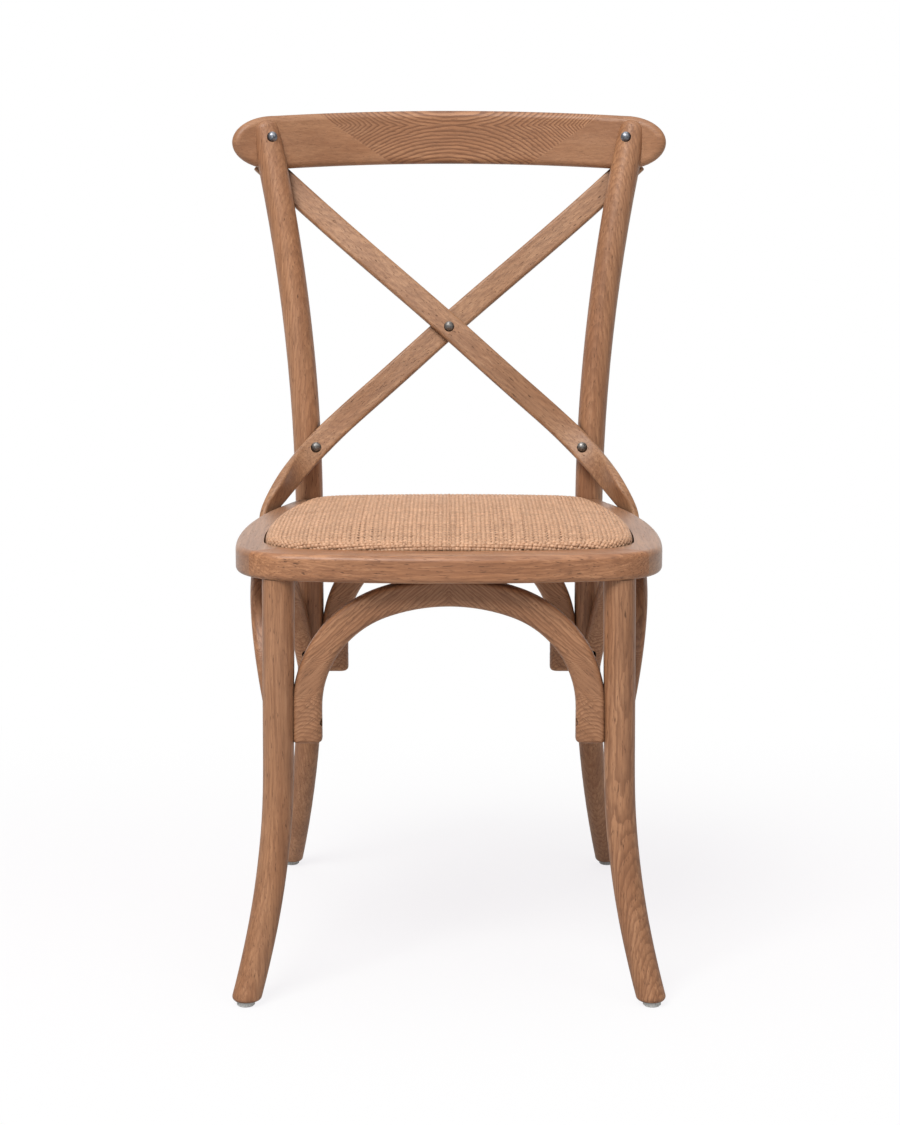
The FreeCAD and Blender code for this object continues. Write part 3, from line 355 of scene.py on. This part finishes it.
def arch_figure(foot_length, foot_middle, bulge):
    """Slanting lines over the haunches that turn into nested arcs on the feet."""
    rise = math.radians(ARCH_GRAIN_RISE)

    def build(tree, along, across, behind):
        place = tree.vector(along, across, 0.0)
        side = tree.dot(place, (-math.cos(rise), math.sin(rise), 0))
        height = tree.dot(place, (math.sin(rise), math.cos(rise), 0))
        fade = [foot_length * share for share in ARCH_FOOT_FADE]
        low = tree.math("SUBTRACT", 1.0, tree.ramp(height, *fade))
        aside = tree.math("SUBTRACT", side, foot_middle)
        arcs = tree.math("MULTIPLY_ADD", tree.math("MULTIPLY", aside, aside), bulge, height)
        change = tree.math("SUBTRACT", tree.math("MULTIPLY", arcs, ARCH_ARC_SPACING), across)
        return tree.math("MULTIPLY_ADD", change, low, across)

    return build


def wood(name, grain, figure, rings=0.6, spacing=0.0030, streaks=1.0, pores=0.8, waver=1.0,
         shade=1.0, tint=(1.03, 1.0, 0.95), gloss=0.12, seed=0.0):
    """Brushed and oiled open-pored wood with painted shade in its corners and bores, worn along its edges.
    """
    tree = Tree(name)
    place = grain(tree, tree.add("TexCoord").outputs["Object"])
    along, across, behind = tree.add("SeparateXYZ", {0: place}).outputs
    shift = tuple(seed * step for step in SEED_SHIFT)
    own = tree.add("VectorMath", {0: place, 1: shift}, operation="ADD").outputs[0]

    drift = tree.centred(tree.noise(own, DRIFT_FINENESS), RING_DRIFT * waver)
    tremor = tree.centred(tree.noise(own, TREMOR_FINENESS), RING_TREMOR * waver)
    ring = tree.math("ADD", figure(tree, along, across, behind), tree.math("ADD", drift, tremor))
    year = tree.math("FRACT", tree.math("DIVIDE", ring, spacing))
    late = tree.math("MULTIPLY", tree.ramp(year, *LATE_WOOD),
                     tree.math("SUBTRACT", 1.0, tree.ramp(year, *LATE_WOOD_END)))
    early = tree.math("SUBTRACT", 1.0, tree.ramp(year, *EARLY_WOOD_END))

    broad = tree.noise(own, BROAD_FINENESS, detail=4.0, roughness=0.6)
    patch = tree.noise(own, PATCH_FINENESS)
    streak = tree.noise(own, STREAK_FINENESS, detail=4.0, roughness=0.7)
    fibre = tree.noise(own, FIBRE_FINENESS, detail=3.0, roughness=0.6)
    pore = tree.noise(own, PORE_FINENESS, roughness=0.6)
    open_pore = tree.math("MULTIPLY", tree.ramp(pore, *PORE_RANGE),
                          tree.math("MULTIPLY_ADD", early, *PORES_BY_EARLY_WOOD), clamp=True)

    colour = tree.mix(tree.ramp(broad, *BROAD_RANGE), WOOD_PALE, WOOD_MIDDLE)
    strength = tree.math("MULTIPLY", late, tree.math("MULTIPLY_ADD", patch, *RINGS_BY_PATCH))
    strength = tree.math("MULTIPLY", strength, rings, clamp=True)
    colour = tree.mix(strength, colour, WOOD_DEEP)
    dark_streak = tree.math("MULTIPLY", tree.ramp(streak, *DARK_STREAK_RANGE),
                            DARK_STREAK_STRENGTH * streaks)
    colour = tree.mix(dark_streak, colour, WOOD_DEEP)
    colour = tree.mix(tree.math("MULTIPLY", open_pore, pores, clamp=True), colour, WOOD_PORE)
    pale_streak = tree.math("MULTIPLY", tree.ramp(streak, *PALE_STREAK_RANGE),
                            PALE_STREAK_STRENGTH * streaks)
    colour = tree.mix(pale_streak, colour, WOOD_LIGHT)

    tone = tree.math("MULTIPLY_ADD", patch, *TONE_BY_PATCH)
    tone = tree.math("MULTIPLY", tone, tree.math("MULTIPLY_ADD", fibre, *TONE_BY_FIBRE))
    tone = tree.math("MULTIPLY", tone, shade)
    warm = tree.centred(tree.noise(own, WARMTH_FINENESS, detail=3.0), WARMTH_STRENGTH)
    red = tree.math("MULTIPLY", tone, tint[0])
    green = tree.math("MULTIPLY", tone, tree.math("MULTIPLY_ADD", warm, WARMTH_ON_GREEN, tint[1]))
    blue = tree.math("MULTIPLY", tone, tree.math("SUBTRACT", tint[2], warm))
    colour = tree.mix(1.0, colour, tree.vector(red, green, blue), "MULTIPLY")

    # Painted shade: corners, joints and bores darken where ambient occlusion finds other surfaces close by
    open_sky = tree.add("AmbientOcclusion", {"Distance": PAINTED_SHADE_REACH}, samples=6).outputs["AO"]
    painted_shade = tree.math("SUBTRACT", 1.0, tree.ramp(open_sky, *PAINTED_SHADE_RANGE))
    colour = tree.mix(tree.math("MULTIPLY", painted_shade, PAINTED_SHADE_STRENGTH), colour, WOOD_PAINTED_SHADE)
    rounded = tree.add("Bevel", {"Radius": WEAR_WIDTH}, samples=4).outputs["Normal"]
    facing = tree.add("VectorMath", {0: rounded, 1: tree.add("NewGeometry").outputs["Normal"]},
                      operation="DOT_PRODUCT").outputs["Value"]
    worn = tree.math("MULTIPLY", tree.ramp(facing, *WEAR_TURN_RANGE),
                     tree.ramp(streak, *WEAR_STREAK_RANGE))
    colour = tree.mix(tree.math("MULTIPLY", worn, WEAR_STRENGTH), colour, WOOD_LIGHT)

    roughness = tree.math("MULTIPLY_ADD", fibre, *ROUGHNESS_BY_FIBRE)
    roughness = tree.math("MULTIPLY_ADD", open_pore, PORE_ROUGHNESS, roughness, clamp=True)
    height = tree.math("SUBTRACT", tree.math("MULTIPLY", strength, RING_RELIEF), open_pore)
    height = tree.math("MULTIPLY_ADD", streak, STREAK_RELIEF, height)
    normal = tree.bump(height, distance=0.30 * MILLIMETRE, strength=0.6)
    return tree.finish({"Base Color": colour, "Roughness": roughness, "Normal": normal,
                        "Specular IOR Level": 0.42, "Coat Weight": gloss, "Coat Roughness": 0.34})


def metal(name, colour, roughness, stain):
    """Aged steel with a worn, cloudy surface."""
    tree = Tree(name)
    place = tree.add("TexCoord").outputs["Object"]
    cloud = tree.noise(place, CLOUD_FINENESS, detail=4.0, roughness=0.65)
    scratch = tree.noise(place, SCRATCH_FINENESS)
    worn = tree.ramp(cloud, *CLOUD_RANGE)
    base = tree.mix(worn, colour, stain)
    rough = tree.math("MULTIPLY_ADD", worn, CLOUD_ROUGHNESS, roughness)
    rough = tree.math("MULTIPLY_ADD", scratch, SCRATCH_ROUGHNESS, rough)
    normal = tree.bump(tree.math("ADD", cloud, scratch), distance=0.06 * MILLIMETRE, strength=0.4)
    return tree.finish({"Base Color": base, "Metallic": 1.0, "Roughness": rough, "Normal": normal})


def plastic():
    """Pale moulded plastic, scuffed by the floor."""
    tree = Tree("glide_plastic")
    place = tree.add("TexCoord").outputs["Object"]
    scuff = tree.noise(place, SCUFF_FINENESS, detail=4.0, roughness=0.6)
    colour = tree.mix(tree.ramp(scuff, *SCUFF_RANGE), PLASTIC_CLEAN, PLASTIC_SCUFFED)
    rough = tree.math("MULTIPLY_ADD", scuff, *ROUGHNESS_BY_SCUFF)
    normal = tree.bump(scuff, distance=0.05 * MILLIMETRE, strength=0.5)
    return tree.finish({"Base Color": colour, "Roughness": rough, "Normal": normal})


def cane_material():
    """Split cane: a shade of its own for each strand, fine fibres, a soft gloss and painted shade in the
    dips.
    """
    tree = Tree("woven_cane")
    strand = tree.add("Attribute", attribute_name="strand_shade").outputs["Fac"]
    rise = tree.add("Attribute", attribute_name="strand_rise").outputs["Fac"]
    run = tree.add("Attribute", attribute_name="strand_run").outputs["Vector"]
    place = tree.add("TexCoord").outputs["Object"]
    fibre = tree.noise(run, CANE_FIBRE_FINENESS, detail=3.0, roughness=0.6)
    stain = tree.noise(place, CANE_STAIN_FINENESS, detail=4.0, roughness=0.6)
    knot = tree.noise(run, CANE_KNOT_FINENESS, detail=3.0, roughness=0.65)
    colour = tree.mix(tree.ramp(fibre, *CANE_FIBRE_RANGE), CANE_PALE, CANE_DARK)
    # Painted shade: the lower a ring lies in the weave, the darker it is painted
    tone = tree.math("MULTIPLY", tree.math("MULTIPLY_ADD", strand, *CANE_TONE_BY_STRAND),
                     tree.math("MULTIPLY_ADD", rise, *CANE_PAINTED_SHADE_BY_RISE))
    tone = tree.math("MULTIPLY", tone, tree.math("MULTIPLY_ADD", stain, *CANE_TONE_BY_STAIN))
    tone = tree.math("MULTIPLY", tone, tree.math("MULTIPLY_ADD", knot, *CANE_TONE_BY_KNOT))
    colour = tree.mix(1.0, colour, tree.vector(tone, tone, tone), "MULTIPLY")
    fleck = tree.math("MULTIPLY", tree.ramp(knot, *CANE_FLECK_RANGE), CANE_FLECK_STRENGTH)
    colour = tree.mix(fleck, colour, CANE_FLECK)
    rough = tree.math("MULTIPLY_ADD", fibre, *CANE_ROUGHNESS_BY_FIBRE)
    normal = tree.bump(fibre, distance=0.12 * MILLIMETRE, strength=0.5)
    return tree.finish({"Base Color": colour, "Roughness": rough, "Normal": normal,
                        "Specular IOR Level": 0.45})


def pad_material():
    """The dark cloth that shows through the holes of the weave."""
    tree = Tree("pad_cloth")
    place = tree.add("TexCoord").outputs["Object"]
    thread = tree.noise(place, THREAD_FINENESS)
    colour = tree.mix(thread, PAD_COLOUR, tuple(part * PAD_DARKENING for part in PAD_COLOUR))
    return tree.finish({"Base Color": colour, "Roughness": 0.95,
                        "Normal": tree.bump(thread, distance=0.2 * MILLIMETRE)})


def paint(names, material):
    for name in names:
        slots = NODES[name].data.materials
        if len(slots) == 0:
            slots.append(material)
        for index in range(len(slots)):
            slots[index] = material


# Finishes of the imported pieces

def middle_of(name):
    low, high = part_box(name)
    return (Vector(low) + Vector(high)) / 2


def paint_legs():
    upright = straight_grain(Z_AXIS, X_AXIS)
    looks = {
        "front_leg_left": dict(figure=heart_figure((0.215, 0.17), (0.03, 0.02)), rings=0.40, seed=1.0),
        "front_leg_right": dict(figure=heart_figure((-0.165, 0.20), (-0.02, 0.05)), rings=0.75,
                                seed=2.0),
        "back_leg_left": dict(figure=heart_figure((0.10, -0.11), (-0.04, 0.05)), rings=0.40, seed=3.0),
        "back_leg_right": dict(figure=heart_figure((-0.17, -0.10), (0.05, 0.06)), rings=0.50,
                               shade=0.96, seed=4.0),
    }
    for name, look in looks.items():
        paint([name], wood(name + "_wood", upright, **look))


def paint_seat_frame():
    lengthwise = straight_grain(X_AXIS, Z_AXIS)
    backwards = straight_grain(Y_AXIS, X_AXIS)
    paint(["seat_front_rail"],
          wood("seat_front_wood", lengthwise, heart_figure((-0.41, -0.20), (0.010, 0.006)),
               rings=0.45, pores=1.0, streaks=1.3, shade=1.02, tint=(1.08, 1.0, 0.90), gloss=0.3,
               seed=5.0))
    paint(["seat_back_rail"],
          wood("seat_back_wood", lengthwise, heart_figure((-0.40, 0.10)), gloss=0.45, seed=6.0))
    for name, heart, seed in (("seat_left", (0.24, 0.50), 7.0), ("seat_right", (-0.17, 0.50), 8.0)):
        paint([name + "_rail"],
              wood(name + "_wood", backwards, heart_figure(heart), rings=0.3, pores=0.6,
                   tint=(0.94, 0.97, 1.0), gloss=0.5, seed=seed))


def paint_crest():
    lengthwise = straight_grain(X_AXIS, Z_AXIS)
    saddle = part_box("crest_centre_block")[1][2] - CREST_SADDLE_DEPTH
    paint(["crest_centre_block"],
          wood("crest_centre_wood", lengthwise, hourglass_figure(saddle, steepness=1.0, spread=3.6),
               rings=1.45, spacing=0.0043, streaks=0.6, pores=0.4, waver=0.95, seed=9.0))
    for name, seed in (("crest_left", 10.0), ("crest_right", 11.0)):
        paint([name + "_block"],
              wood(name + "_wood", lengthwise, heart_figure((-0.60, 0.06)), rings=0.15, pores=0.3,
                   streaks=0.55, shade=0.92, seed=seed))


def paint_braces():
    bolt_height = middle_of("brace_bolts").z
    for name, sign, seed in (("cross_brace_front", 1.0, 12.0), ("cross_brace_rear", -1.0, 13.0)):
        paint([name], wood(name + "_wood", brace_grain(sign, bolt_height, BRACE_END_BEND),
                           heart_figure((-0.43, -0.14), (0.02, 0.01)), rings=0.35, pores=0.9,
                           streaks=1.1, shade=1.04, tint=(0.97, 1.02, 1.02), seed=seed))


def paint_arches():
    looks = (("front_arch", X_AXIS, 14.0), ("back_arch", X_AXIS, 15.0),
             ("left_arch", Y_AXIS, 16.0), ("right_arch", Y_AXIS, 17.0))
    for name, span, seed in looks:
        low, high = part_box(name)
        centre = middle_of(name)
        half = (Vector(high) - centre).dot(span)
        origin = Vector((centre.x, centre.y, low[2]))
        figure = arch_figure(ARCH_FOOT_LENGTH, half - ARCH_FOOT_WIDTH / 2, ARCH_ARC_BULGE)
        paint([name], wood(name + "_wood", arch_grain(origin, span, Z_AXIS), figure, rings=0.85,
                           spacing=0.0036, pores=0.7, streaks=0.9, waver=1.5, seed=seed))


def paint_hidden_wood():
    paint(["seat_board"], wood("seat_board_wood", straight_grain(X_AXIS, Y_AXIS),
                               heart_figure((0.0, 0.3)), rings=0.4, seed=18.0))
    paint(["seat_rail_dowels"], wood("dowel_wood", straight_grain(X_AXIS, Z_AXIS),
                                     heart_figure((0.0, 0.3)), rings=0.2, seed=19.0))


def paint_metal():
    bright = metal("crest_bolt_steel", colour=(0.34, 0.36, 0.40), roughness=0.27, stain=(0.14, 0.14, 0.16))
    aged = metal("brace_bolt_steel", colour=(0.30, 0.29, 0.28), roughness=0.34, stain=(0.12, 0.11, 0.10))
    black = metal("screw_black", colour=(0.06, 0.055, 0.05), roughness=0.45, stain=(0.03, 0.025, 0.02))
    paint(["crest_bolts", "crest_nuts"], bright)
    paint(["brace_bolts", "brace_nuts", "cross_bolt", "cross_nut", "seat_bolts", "seat_barrel_nuts"],
          aged)
    paint(["brace_top_screws", "brace_end_screws", "arch_foot_screws", "arch_crown_screws",
           "seat_board_screws", "glide_nails"], black)


def paint_glides():
    paint(["glide_front_left", "glide_front_right", "glide_back_left", "glide_back_right"], plastic())


# Woven seat

class SeatForm:
    """The crowned seat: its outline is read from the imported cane, and its top is a smooth dome.

    Places on it are given flat, as if the cover were laid out from the middle of the seat.
    """

    def __init__(self, name):
        low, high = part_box(name)
        rim_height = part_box("seat_front_rail")[1][2]
        self.centre = Vector(((low[0] + high[0]) / 2, (low[1] + high[1]) / 2, rim_height))
        data = NODES[name].data
        tree = BVHTree.FromPolygons([v.co for v in data.vertices], [p.vertices for p in data.polygons])
        level = Vector((0, 0, -OUTLINE_DEPTH))
        reach = []
        for step in range(OUTLINE_STEPS):
            angle = 2 * math.pi * step / OUTLINE_STEPS
            outward = Vector((math.cos(angle), math.sin(angle), 0))
            hit = tree.ray_cast(self.centre + level + outward, -outward)[0]
            reach.append((hit - self.centre - level).length)
        self.reach = np.array(reach + reach[:1])
        self.build_profile()

    def build_profile(self):
        """The dome, its steep wall and the turn between them, measured along the cover."""
        share = np.linspace(0, 1, PROFILE_STEPS)
        dome = SEAT_WALL + (SEAT_CROWN - SEAT_WALL) * (1 - share ** SEAT_FULLNESS) ** SEAT_SHOULDER
        radius = np.append(share, 1.0) * self.reach.mean()
        height = np.append(dome, -SEAT_DIP)
        arc = np.append(0, np.cumsum(np.hypot(np.diff(radius), np.diff(height))))
        even = np.linspace(0, arc[-1], PROFILE_STEPS)
        window = max(1, int(SEAT_CORNER_ROUNDING / even[1]))
        kernel = np.ones(window) / window
        smooth = []
        for values in (np.interp(even, arc, radius), np.interp(even, arc, height)):
            ends = 2 * values[-1] - values[-2:-2 - window:-1]
            padded = np.concatenate([values, ends])
            smooth.append(np.convolve(padded, kernel, "full")[window // 2:window // 2 + PROFILE_STEPS])
        radius, height = smooth
        radius[:window] = even[:window]
        height[:window] = SEAT_CROWN
        self.radius = np.minimum(radius / self.reach.mean(), 1.0)
        self.height = height
        self.run = even / self.reach.mean()

    def limit(self, x, y):
        """How far the outline lies from the centre in the direction of (x, y)."""
        turn = np.mod(np.arctan2(y, x), 2 * math.pi) / (2 * math.pi) * OUTLINE_STEPS
        return np.interp(turn, np.arange(OUTLINE_STEPS + 1), self.reach)

    def inside(self, u, v, inset):
        return np.hypot(u, v) < (self.limit(u, v) - inset) * self.run[-2]

    def surface(self, u, v, inset):
        """The place on the dome of a place on the flat cover."""
        flat = np.maximum(np.hypot(u, v), NEARLY_ZERO)
        limit = self.limit(u, v) - inset
        out = limit * np.interp(flat / limit, self.run, self.radius)
        return np.stack([u / flat * out, v / flat * out, np.interp(flat / limit, self.run, self.height)], 1)


def mesh_piece(name, vertices, faces):
    data = bpy.data.meshes.new(name)
    data.from_pydata([tuple(v) for v in vertices], [], faces)
    data.validate()
    data.polygons.foreach_set("use_smooth", [True] * len(data.polygons))
    piece = bpy.data.objects.new(name, data)
    bpy.context.scene.collection.objects.link(piece)
    return piece


def strand_rings(form, offset, lengthwise, index, width, rng):
    """Rings of one flat strand, which rises and dips over the strands that cross it."""
    step = CANE_PITCH / STEPS_PER_CROSSING
    count = int(form.reach.max() * form.run[-1] / step)
    along = np.arange(-count, count + 1) * step
    aside = offset + rng.normal(0, CANE_JITTER)
    sway = np.sin(along / CANE_SWAY_LENGTH + rng.uniform(0, CANE_SWAY_TURN))
    aside = aside + CANE_JITTER * sway
    along = along[form.inside(*((along, aside) if lengthwise else (aside, along)), CANE_EDGE_GAP)]
    # The sway starts at the strand's first ring
    aside = aside[:len(along)]
    if len(along) < SHORTEST_STRAND:
        return None
    u, v = (along, aside) if lengthwise else (aside, along)
    middle = form.surface(u, v, CANE_EDGE_GAP)
    across_u = middle - form.surface(u - SURFACE_NUDGE * np.sign(u), v, CANE_EDGE_GAP)
    across_v = middle - form.surface(u, v - SURFACE_NUDGE * np.sign(v), CANE_EDGE_GAP)
    up = unit(np.cross(across_u * np.sign(u)[:, None], across_v * np.sign(v)[:, None]))
    phase = index + (0 if lengthwise else 1)
    wave = np.cos(math.pi * (along / CANE_PITCH + phase))
    sunk = CANE_WAVE * (wave - 1) - CANE_STRAND_THICKNESS
    middle = middle + up * sunk[:, None]
    side = unit(np.cross(up, np.gradient(middle, axis=0)))
    half = width / 2
    thick = CANE_STRAND_THICKNESS / 2
    shoulder = half * STRAND_SHOULDER[0]
    shoulder_height = thick * STRAND_SHOULDER[1]
    section = ((-half, -thick), (-shoulder, shoulder_height), (0, thick), (shoulder, shoulder_height),
               (half, -thick))
    return np.stack([middle + side * a + up * b for a, b in section], 1), along, (wave + 1) / 2


def unit(vectors):
    return vectors / np.maximum(np.linalg.norm(vectors, axis=1), NEARLY_ZERO)[:, None]


def weave(form):
    """All strands of the cane as one mesh, with a shade and a fibre direction for each strand."""
    rng = np.random.default_rng(CANE_SEED)
    reach = form.reach.max() * form.run[-1]
    vertices = []
    faces = []
    shades = []
    rises = []
    runs = []
    start = 0
    for lengthwise in (True, False):
        count = int(reach / CANE_PITCH)
        for index in range(-count, count + 1):
            shade = rng.uniform()
            width = CANE_STRAND_WIDTH * rng.uniform(*CANE_WIDTH_RANGE)
            strand = strand_rings(form, index * CANE_PITCH, lengthwise, index, width, rng)
            if strand is None:
                continue
            rings, along, rise = strand
            size = rings.shape[1]
            # How high each ring lies in the weave; the cane's material paints shade on the dipping parts
            # from it
            rises.append(np.repeat(rise, size))
            vertices.append(rings.reshape(-1, 3))
            for ring in range(len(rings) - 1):
                base = start + ring * size
                for corner in range(size):
                    following = (corner + 1) % size
                    faces.append((base + corner, base + following, base + size + following,
                                  base + size + corner))
            end = start + len(rings) * size
            faces.append(tuple(range(start, start + size)))
            faces.append(tuple(range(end - 1, end - size - 1, -1)))
            shades.append(np.full(end - start, shade))
            offsets = np.tile(np.linspace(0, width, size), len(rings))
            runs.append(np.stack([np.repeat(along, size), offsets + index * RUN_SPACING,
                                  np.full(len(offsets), float(lengthwise))], 1))
            start = end
    everything = np.concatenate(vertices) + np.array(form.centre)
    piece = mesh_piece("seat_cane_weave", everything, faces)
    for name, values in (("strand_shade", shades), ("strand_rise", rises)):
        attribute = piece.data.attributes.new(name, "FLOAT", "POINT")
        attribute.data.foreach_set("value", np.concatenate(values).astype(np.float32))
    attribute = piece.data.attributes.new("strand_run", "FLOAT_VECTOR", "POINT")
    attribute.data.foreach_set("vector", np.concatenate(runs).astype(np.float32).ravel())
    piece.data.materials.append(cane_material())
    return piece


def pad(form):
    """The closed crowned pad under the weave, flat where it rests on the seat board."""
    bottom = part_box("seat_padding")[0][2] - form.centre.z
    angles = np.arange(OUTLINE_STEPS) * 2 * math.pi / OUTLINE_STEPS
    inset = CANE_EDGE_GAP + PAD_BELOW_CANE
    drop = PAD_BELOW_CANE + CANE_STRAND_THICKNESS
    vertices = []
    faces = []
    for ring in range(1, PAD_RINGS + 1):
        flat = (form.reach[:-1] - inset) * form.run[-2] * ring / PAD_RINGS
        layer = form.surface(flat * np.cos(angles), flat * np.sin(angles), inset)
        vertices.append(layer - np.array((0, 0, drop)))
    foot = vertices[-1].copy()
    foot[:, 2] = bottom
    vertices.append(foot)
    for ring in range(PAD_RINGS):
        for step in range(OUTLINE_STEPS):
            following = (step + 1) % OUTLINE_STEPS
            low = ring * OUTLINE_STEPS
            high = low + OUTLINE_STEPS
            faces.append((low + step, high + step, high + following, low + following))
    vertices.append(np.array([[0, 0, SEAT_CROWN - drop], [0, 0, bottom]]))
    total = (PAD_RINGS + 1) * OUTLINE_STEPS
    for step in range(OUTLINE_STEPS):
        following = (step + 1) % OUTLINE_STEPS
        faces.append((step, following, total))
        faces.append((total - OUTLINE_STEPS + following, total - OUTLINE_STEPS + step, total + 1))
    piece = mesh_piece("seat_pad", np.concatenate(vertices) + np.array(form.centre), faces)
    piece.data.materials.append(pad_material())
    return piece


def build_seat():
    form = SeatForm("seat_cane")
    cane = weave(form)
    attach(cane, "root")
    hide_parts("seat_cane")
    cushion = pad(form)
    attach(cushion, "root")
    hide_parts("seat_padding")


# Floor, light and camera

def floor_paint():
    """White with the chair's shadow to the camera, bright in reflections and matt to other light."""
    tree = Tree("floor_paint")
    parts = tree.add("SeparateXYZ", {0: tree.add("TexCoord").outputs["Object"]}).outputs
    away = tree.math("ABSOLUTE", tree.math("SUBTRACT", parts[1], SHADE_MIDDLE))
    far = tree.ramp(away, 0.0, SHADE_REACH)
    shade = tree.add("BsdfDiffuse", {"Color": (*FLOOR_SHADE, 1.0)}).outputs[0]
    glow = tree.add("Emission", {"Color": (*FLOOR_GLOW, 1.0), "Strength": 1.0}).outputs[0]
    near = tree.add("AddShader", {0: shade, 1: glow}).outputs[0]
    white = tree.add("Emission", {"Color": (*WHITE, 1.0), "Strength": 1.0}).outputs[0]
    seen = tree.add("MixShader", {0: far, 1: near, 2: white}).outputs[0]
    mirrored = tree.add("Emission", {"Color": (*WHITE, 1.0)})
    brightness = tree.math("MULTIPLY_ADD", tree.ramp(parts[1], *MIRRORED_RANGE), *MIRRORED_STRENGTH)
    tree.links.new(brightness, mirrored.inputs["Strength"])
    matt = tree.add("BsdfDiffuse", {"Color": (*FLOOR_MATT, 1.0)}).outputs[0]
    rays = tree.add("LightPath").outputs
    unseen = tree.add("MixShader", {0: rays["Is Glossy Ray"], 1: matt, 2: mirrored.outputs[0]}).outputs[0]
    mixed = tree.add("MixShader", {0: rays["Is Camera Ray"], 1: unseen, 2: seen}).outputs[0]
    output = tree.add("OutputMaterial")
    tree.links.new(mixed, output.inputs["Surface"])
    return tree.material


def build_floor():
    """A level floor that sweeps up into a wall behind the chair."""
    half = FLOOR_SIZE / 2
    profile = [(-half, 0.0), (SWEEP_START, 0.0)]
    for step in range(1, SWEEP_STEPS + 1):
        angle = math.pi / 2 * step / SWEEP_STEPS
        profile.append((SWEEP_START + SWEEP_RADIUS * math.sin(angle),
                        SWEEP_RADIUS * (1 - math.cos(angle))))
    profile.append((SWEEP_START + SWEEP_RADIUS, SWEEP_HEIGHT))
    vertices = [(side * half, y, z) for y, z in profile for side in (-1, 1)]
    faces = [(2 * i, 2 * i + 1, 2 * i + 3, 2 * i + 2) for i in range(len(profile) - 1)]
    floor = mesh_piece("floor", vertices, faces)
    floor.data.materials.append(floor_paint())


def build_world():
    """White to the camera, and an even, weaker fill for everything else."""
    world = bpy.data.worlds.new("studio")
    bpy.context.scene.world = world
    world.use_nodes = True
    nodes = world.node_tree.nodes
    links = world.node_tree.links
    nodes.clear()
    rays = nodes.new("ShaderNodeLightPath")
    seen = nodes.new("ShaderNodeMath")
    seen.operation = "MAXIMUM"
    links.new(rays.outputs["Is Camera Ray"], seen.inputs[0])
    links.new(rays.outputs["Is Transmission Ray"], seen.inputs[1])
    fill = nodes.new("ShaderNodeBackground")
    fill.inputs["Color"].default_value = (*FILL_COLOUR, 1.0)
    fill.inputs["Strength"].default_value = FILL_STRENGTH
    white = nodes.new("ShaderNodeBackground")
    white.inputs["Color"].default_value = (*WHITE, 1.0)
    white.inputs["Strength"].default_value = 1.0
    mixed = nodes.new("ShaderNodeMixShader")
    links.new(seen.outputs[0], mixed.inputs[0])
    links.new(fill.outputs[0], mixed.inputs[1])
    links.new(white.outputs[0], mixed.inputs[2])
    output = nodes.new("ShaderNodeOutputWorld")
    links.new(mixed.outputs[0], output.inputs["Surface"])


def area_light(name, place, size, power, colour):
    data = bpy.data.lights.new(name, "AREA")
    data.shape = "RECTANGLE"
    data.size = size
    data.size_y = size
    data.energy = power
    data.color = colour
    lamp = bpy.data.objects.new(name, data)
    lamp.location = place
    lamp.rotation_euler = (Vector(LIGHT_TARGET) - Vector(place)).to_track_quat("-Z", "Y").to_euler()
    bpy.context.scene.collection.objects.link(lamp)


def build_lights():
    for name, look in LIGHTS.items():
        area_light(name, **look)


def build_camera():
    data = bpy.data.cameras.new("camera")
    data.sensor_fit = "VERTICAL"
    data.sensor_height = SENSOR
    data.lens = FOCAL_PIXELS * SENSOR / IMAGE_HEIGHT
    camera = bpy.data.objects.new("camera", data)
    seat_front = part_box("seat_front_rail")[0][1]
    metres_per_pixel = CAMERA_DISTANCE / FOCAL_PIXELS
    aside = (IMAGE_WIDTH / 2 - CHAIR_MIDDLE_PIXEL) * metres_per_pixel
    camera.location = (aside, seat_front - CAMERA_DISTANCE, CAMERA_HEIGHT)
    camera.rotation_euler = (math.radians(90 - CAMERA_PITCH), 0, 0)
    bpy.context.scene.collection.objects.link(camera)
    bpy.context.scene.camera = camera


paint_legs()
paint_seat_frame()
paint_crest()
paint_braces()
paint_arches()
paint_hidden_wood()
paint_metal()
paint_glides()
build_seat()
build_floor()
build_world()
build_lights()
build_camera()
bpy.context.scene.view_settings.view_transform = "Standard"
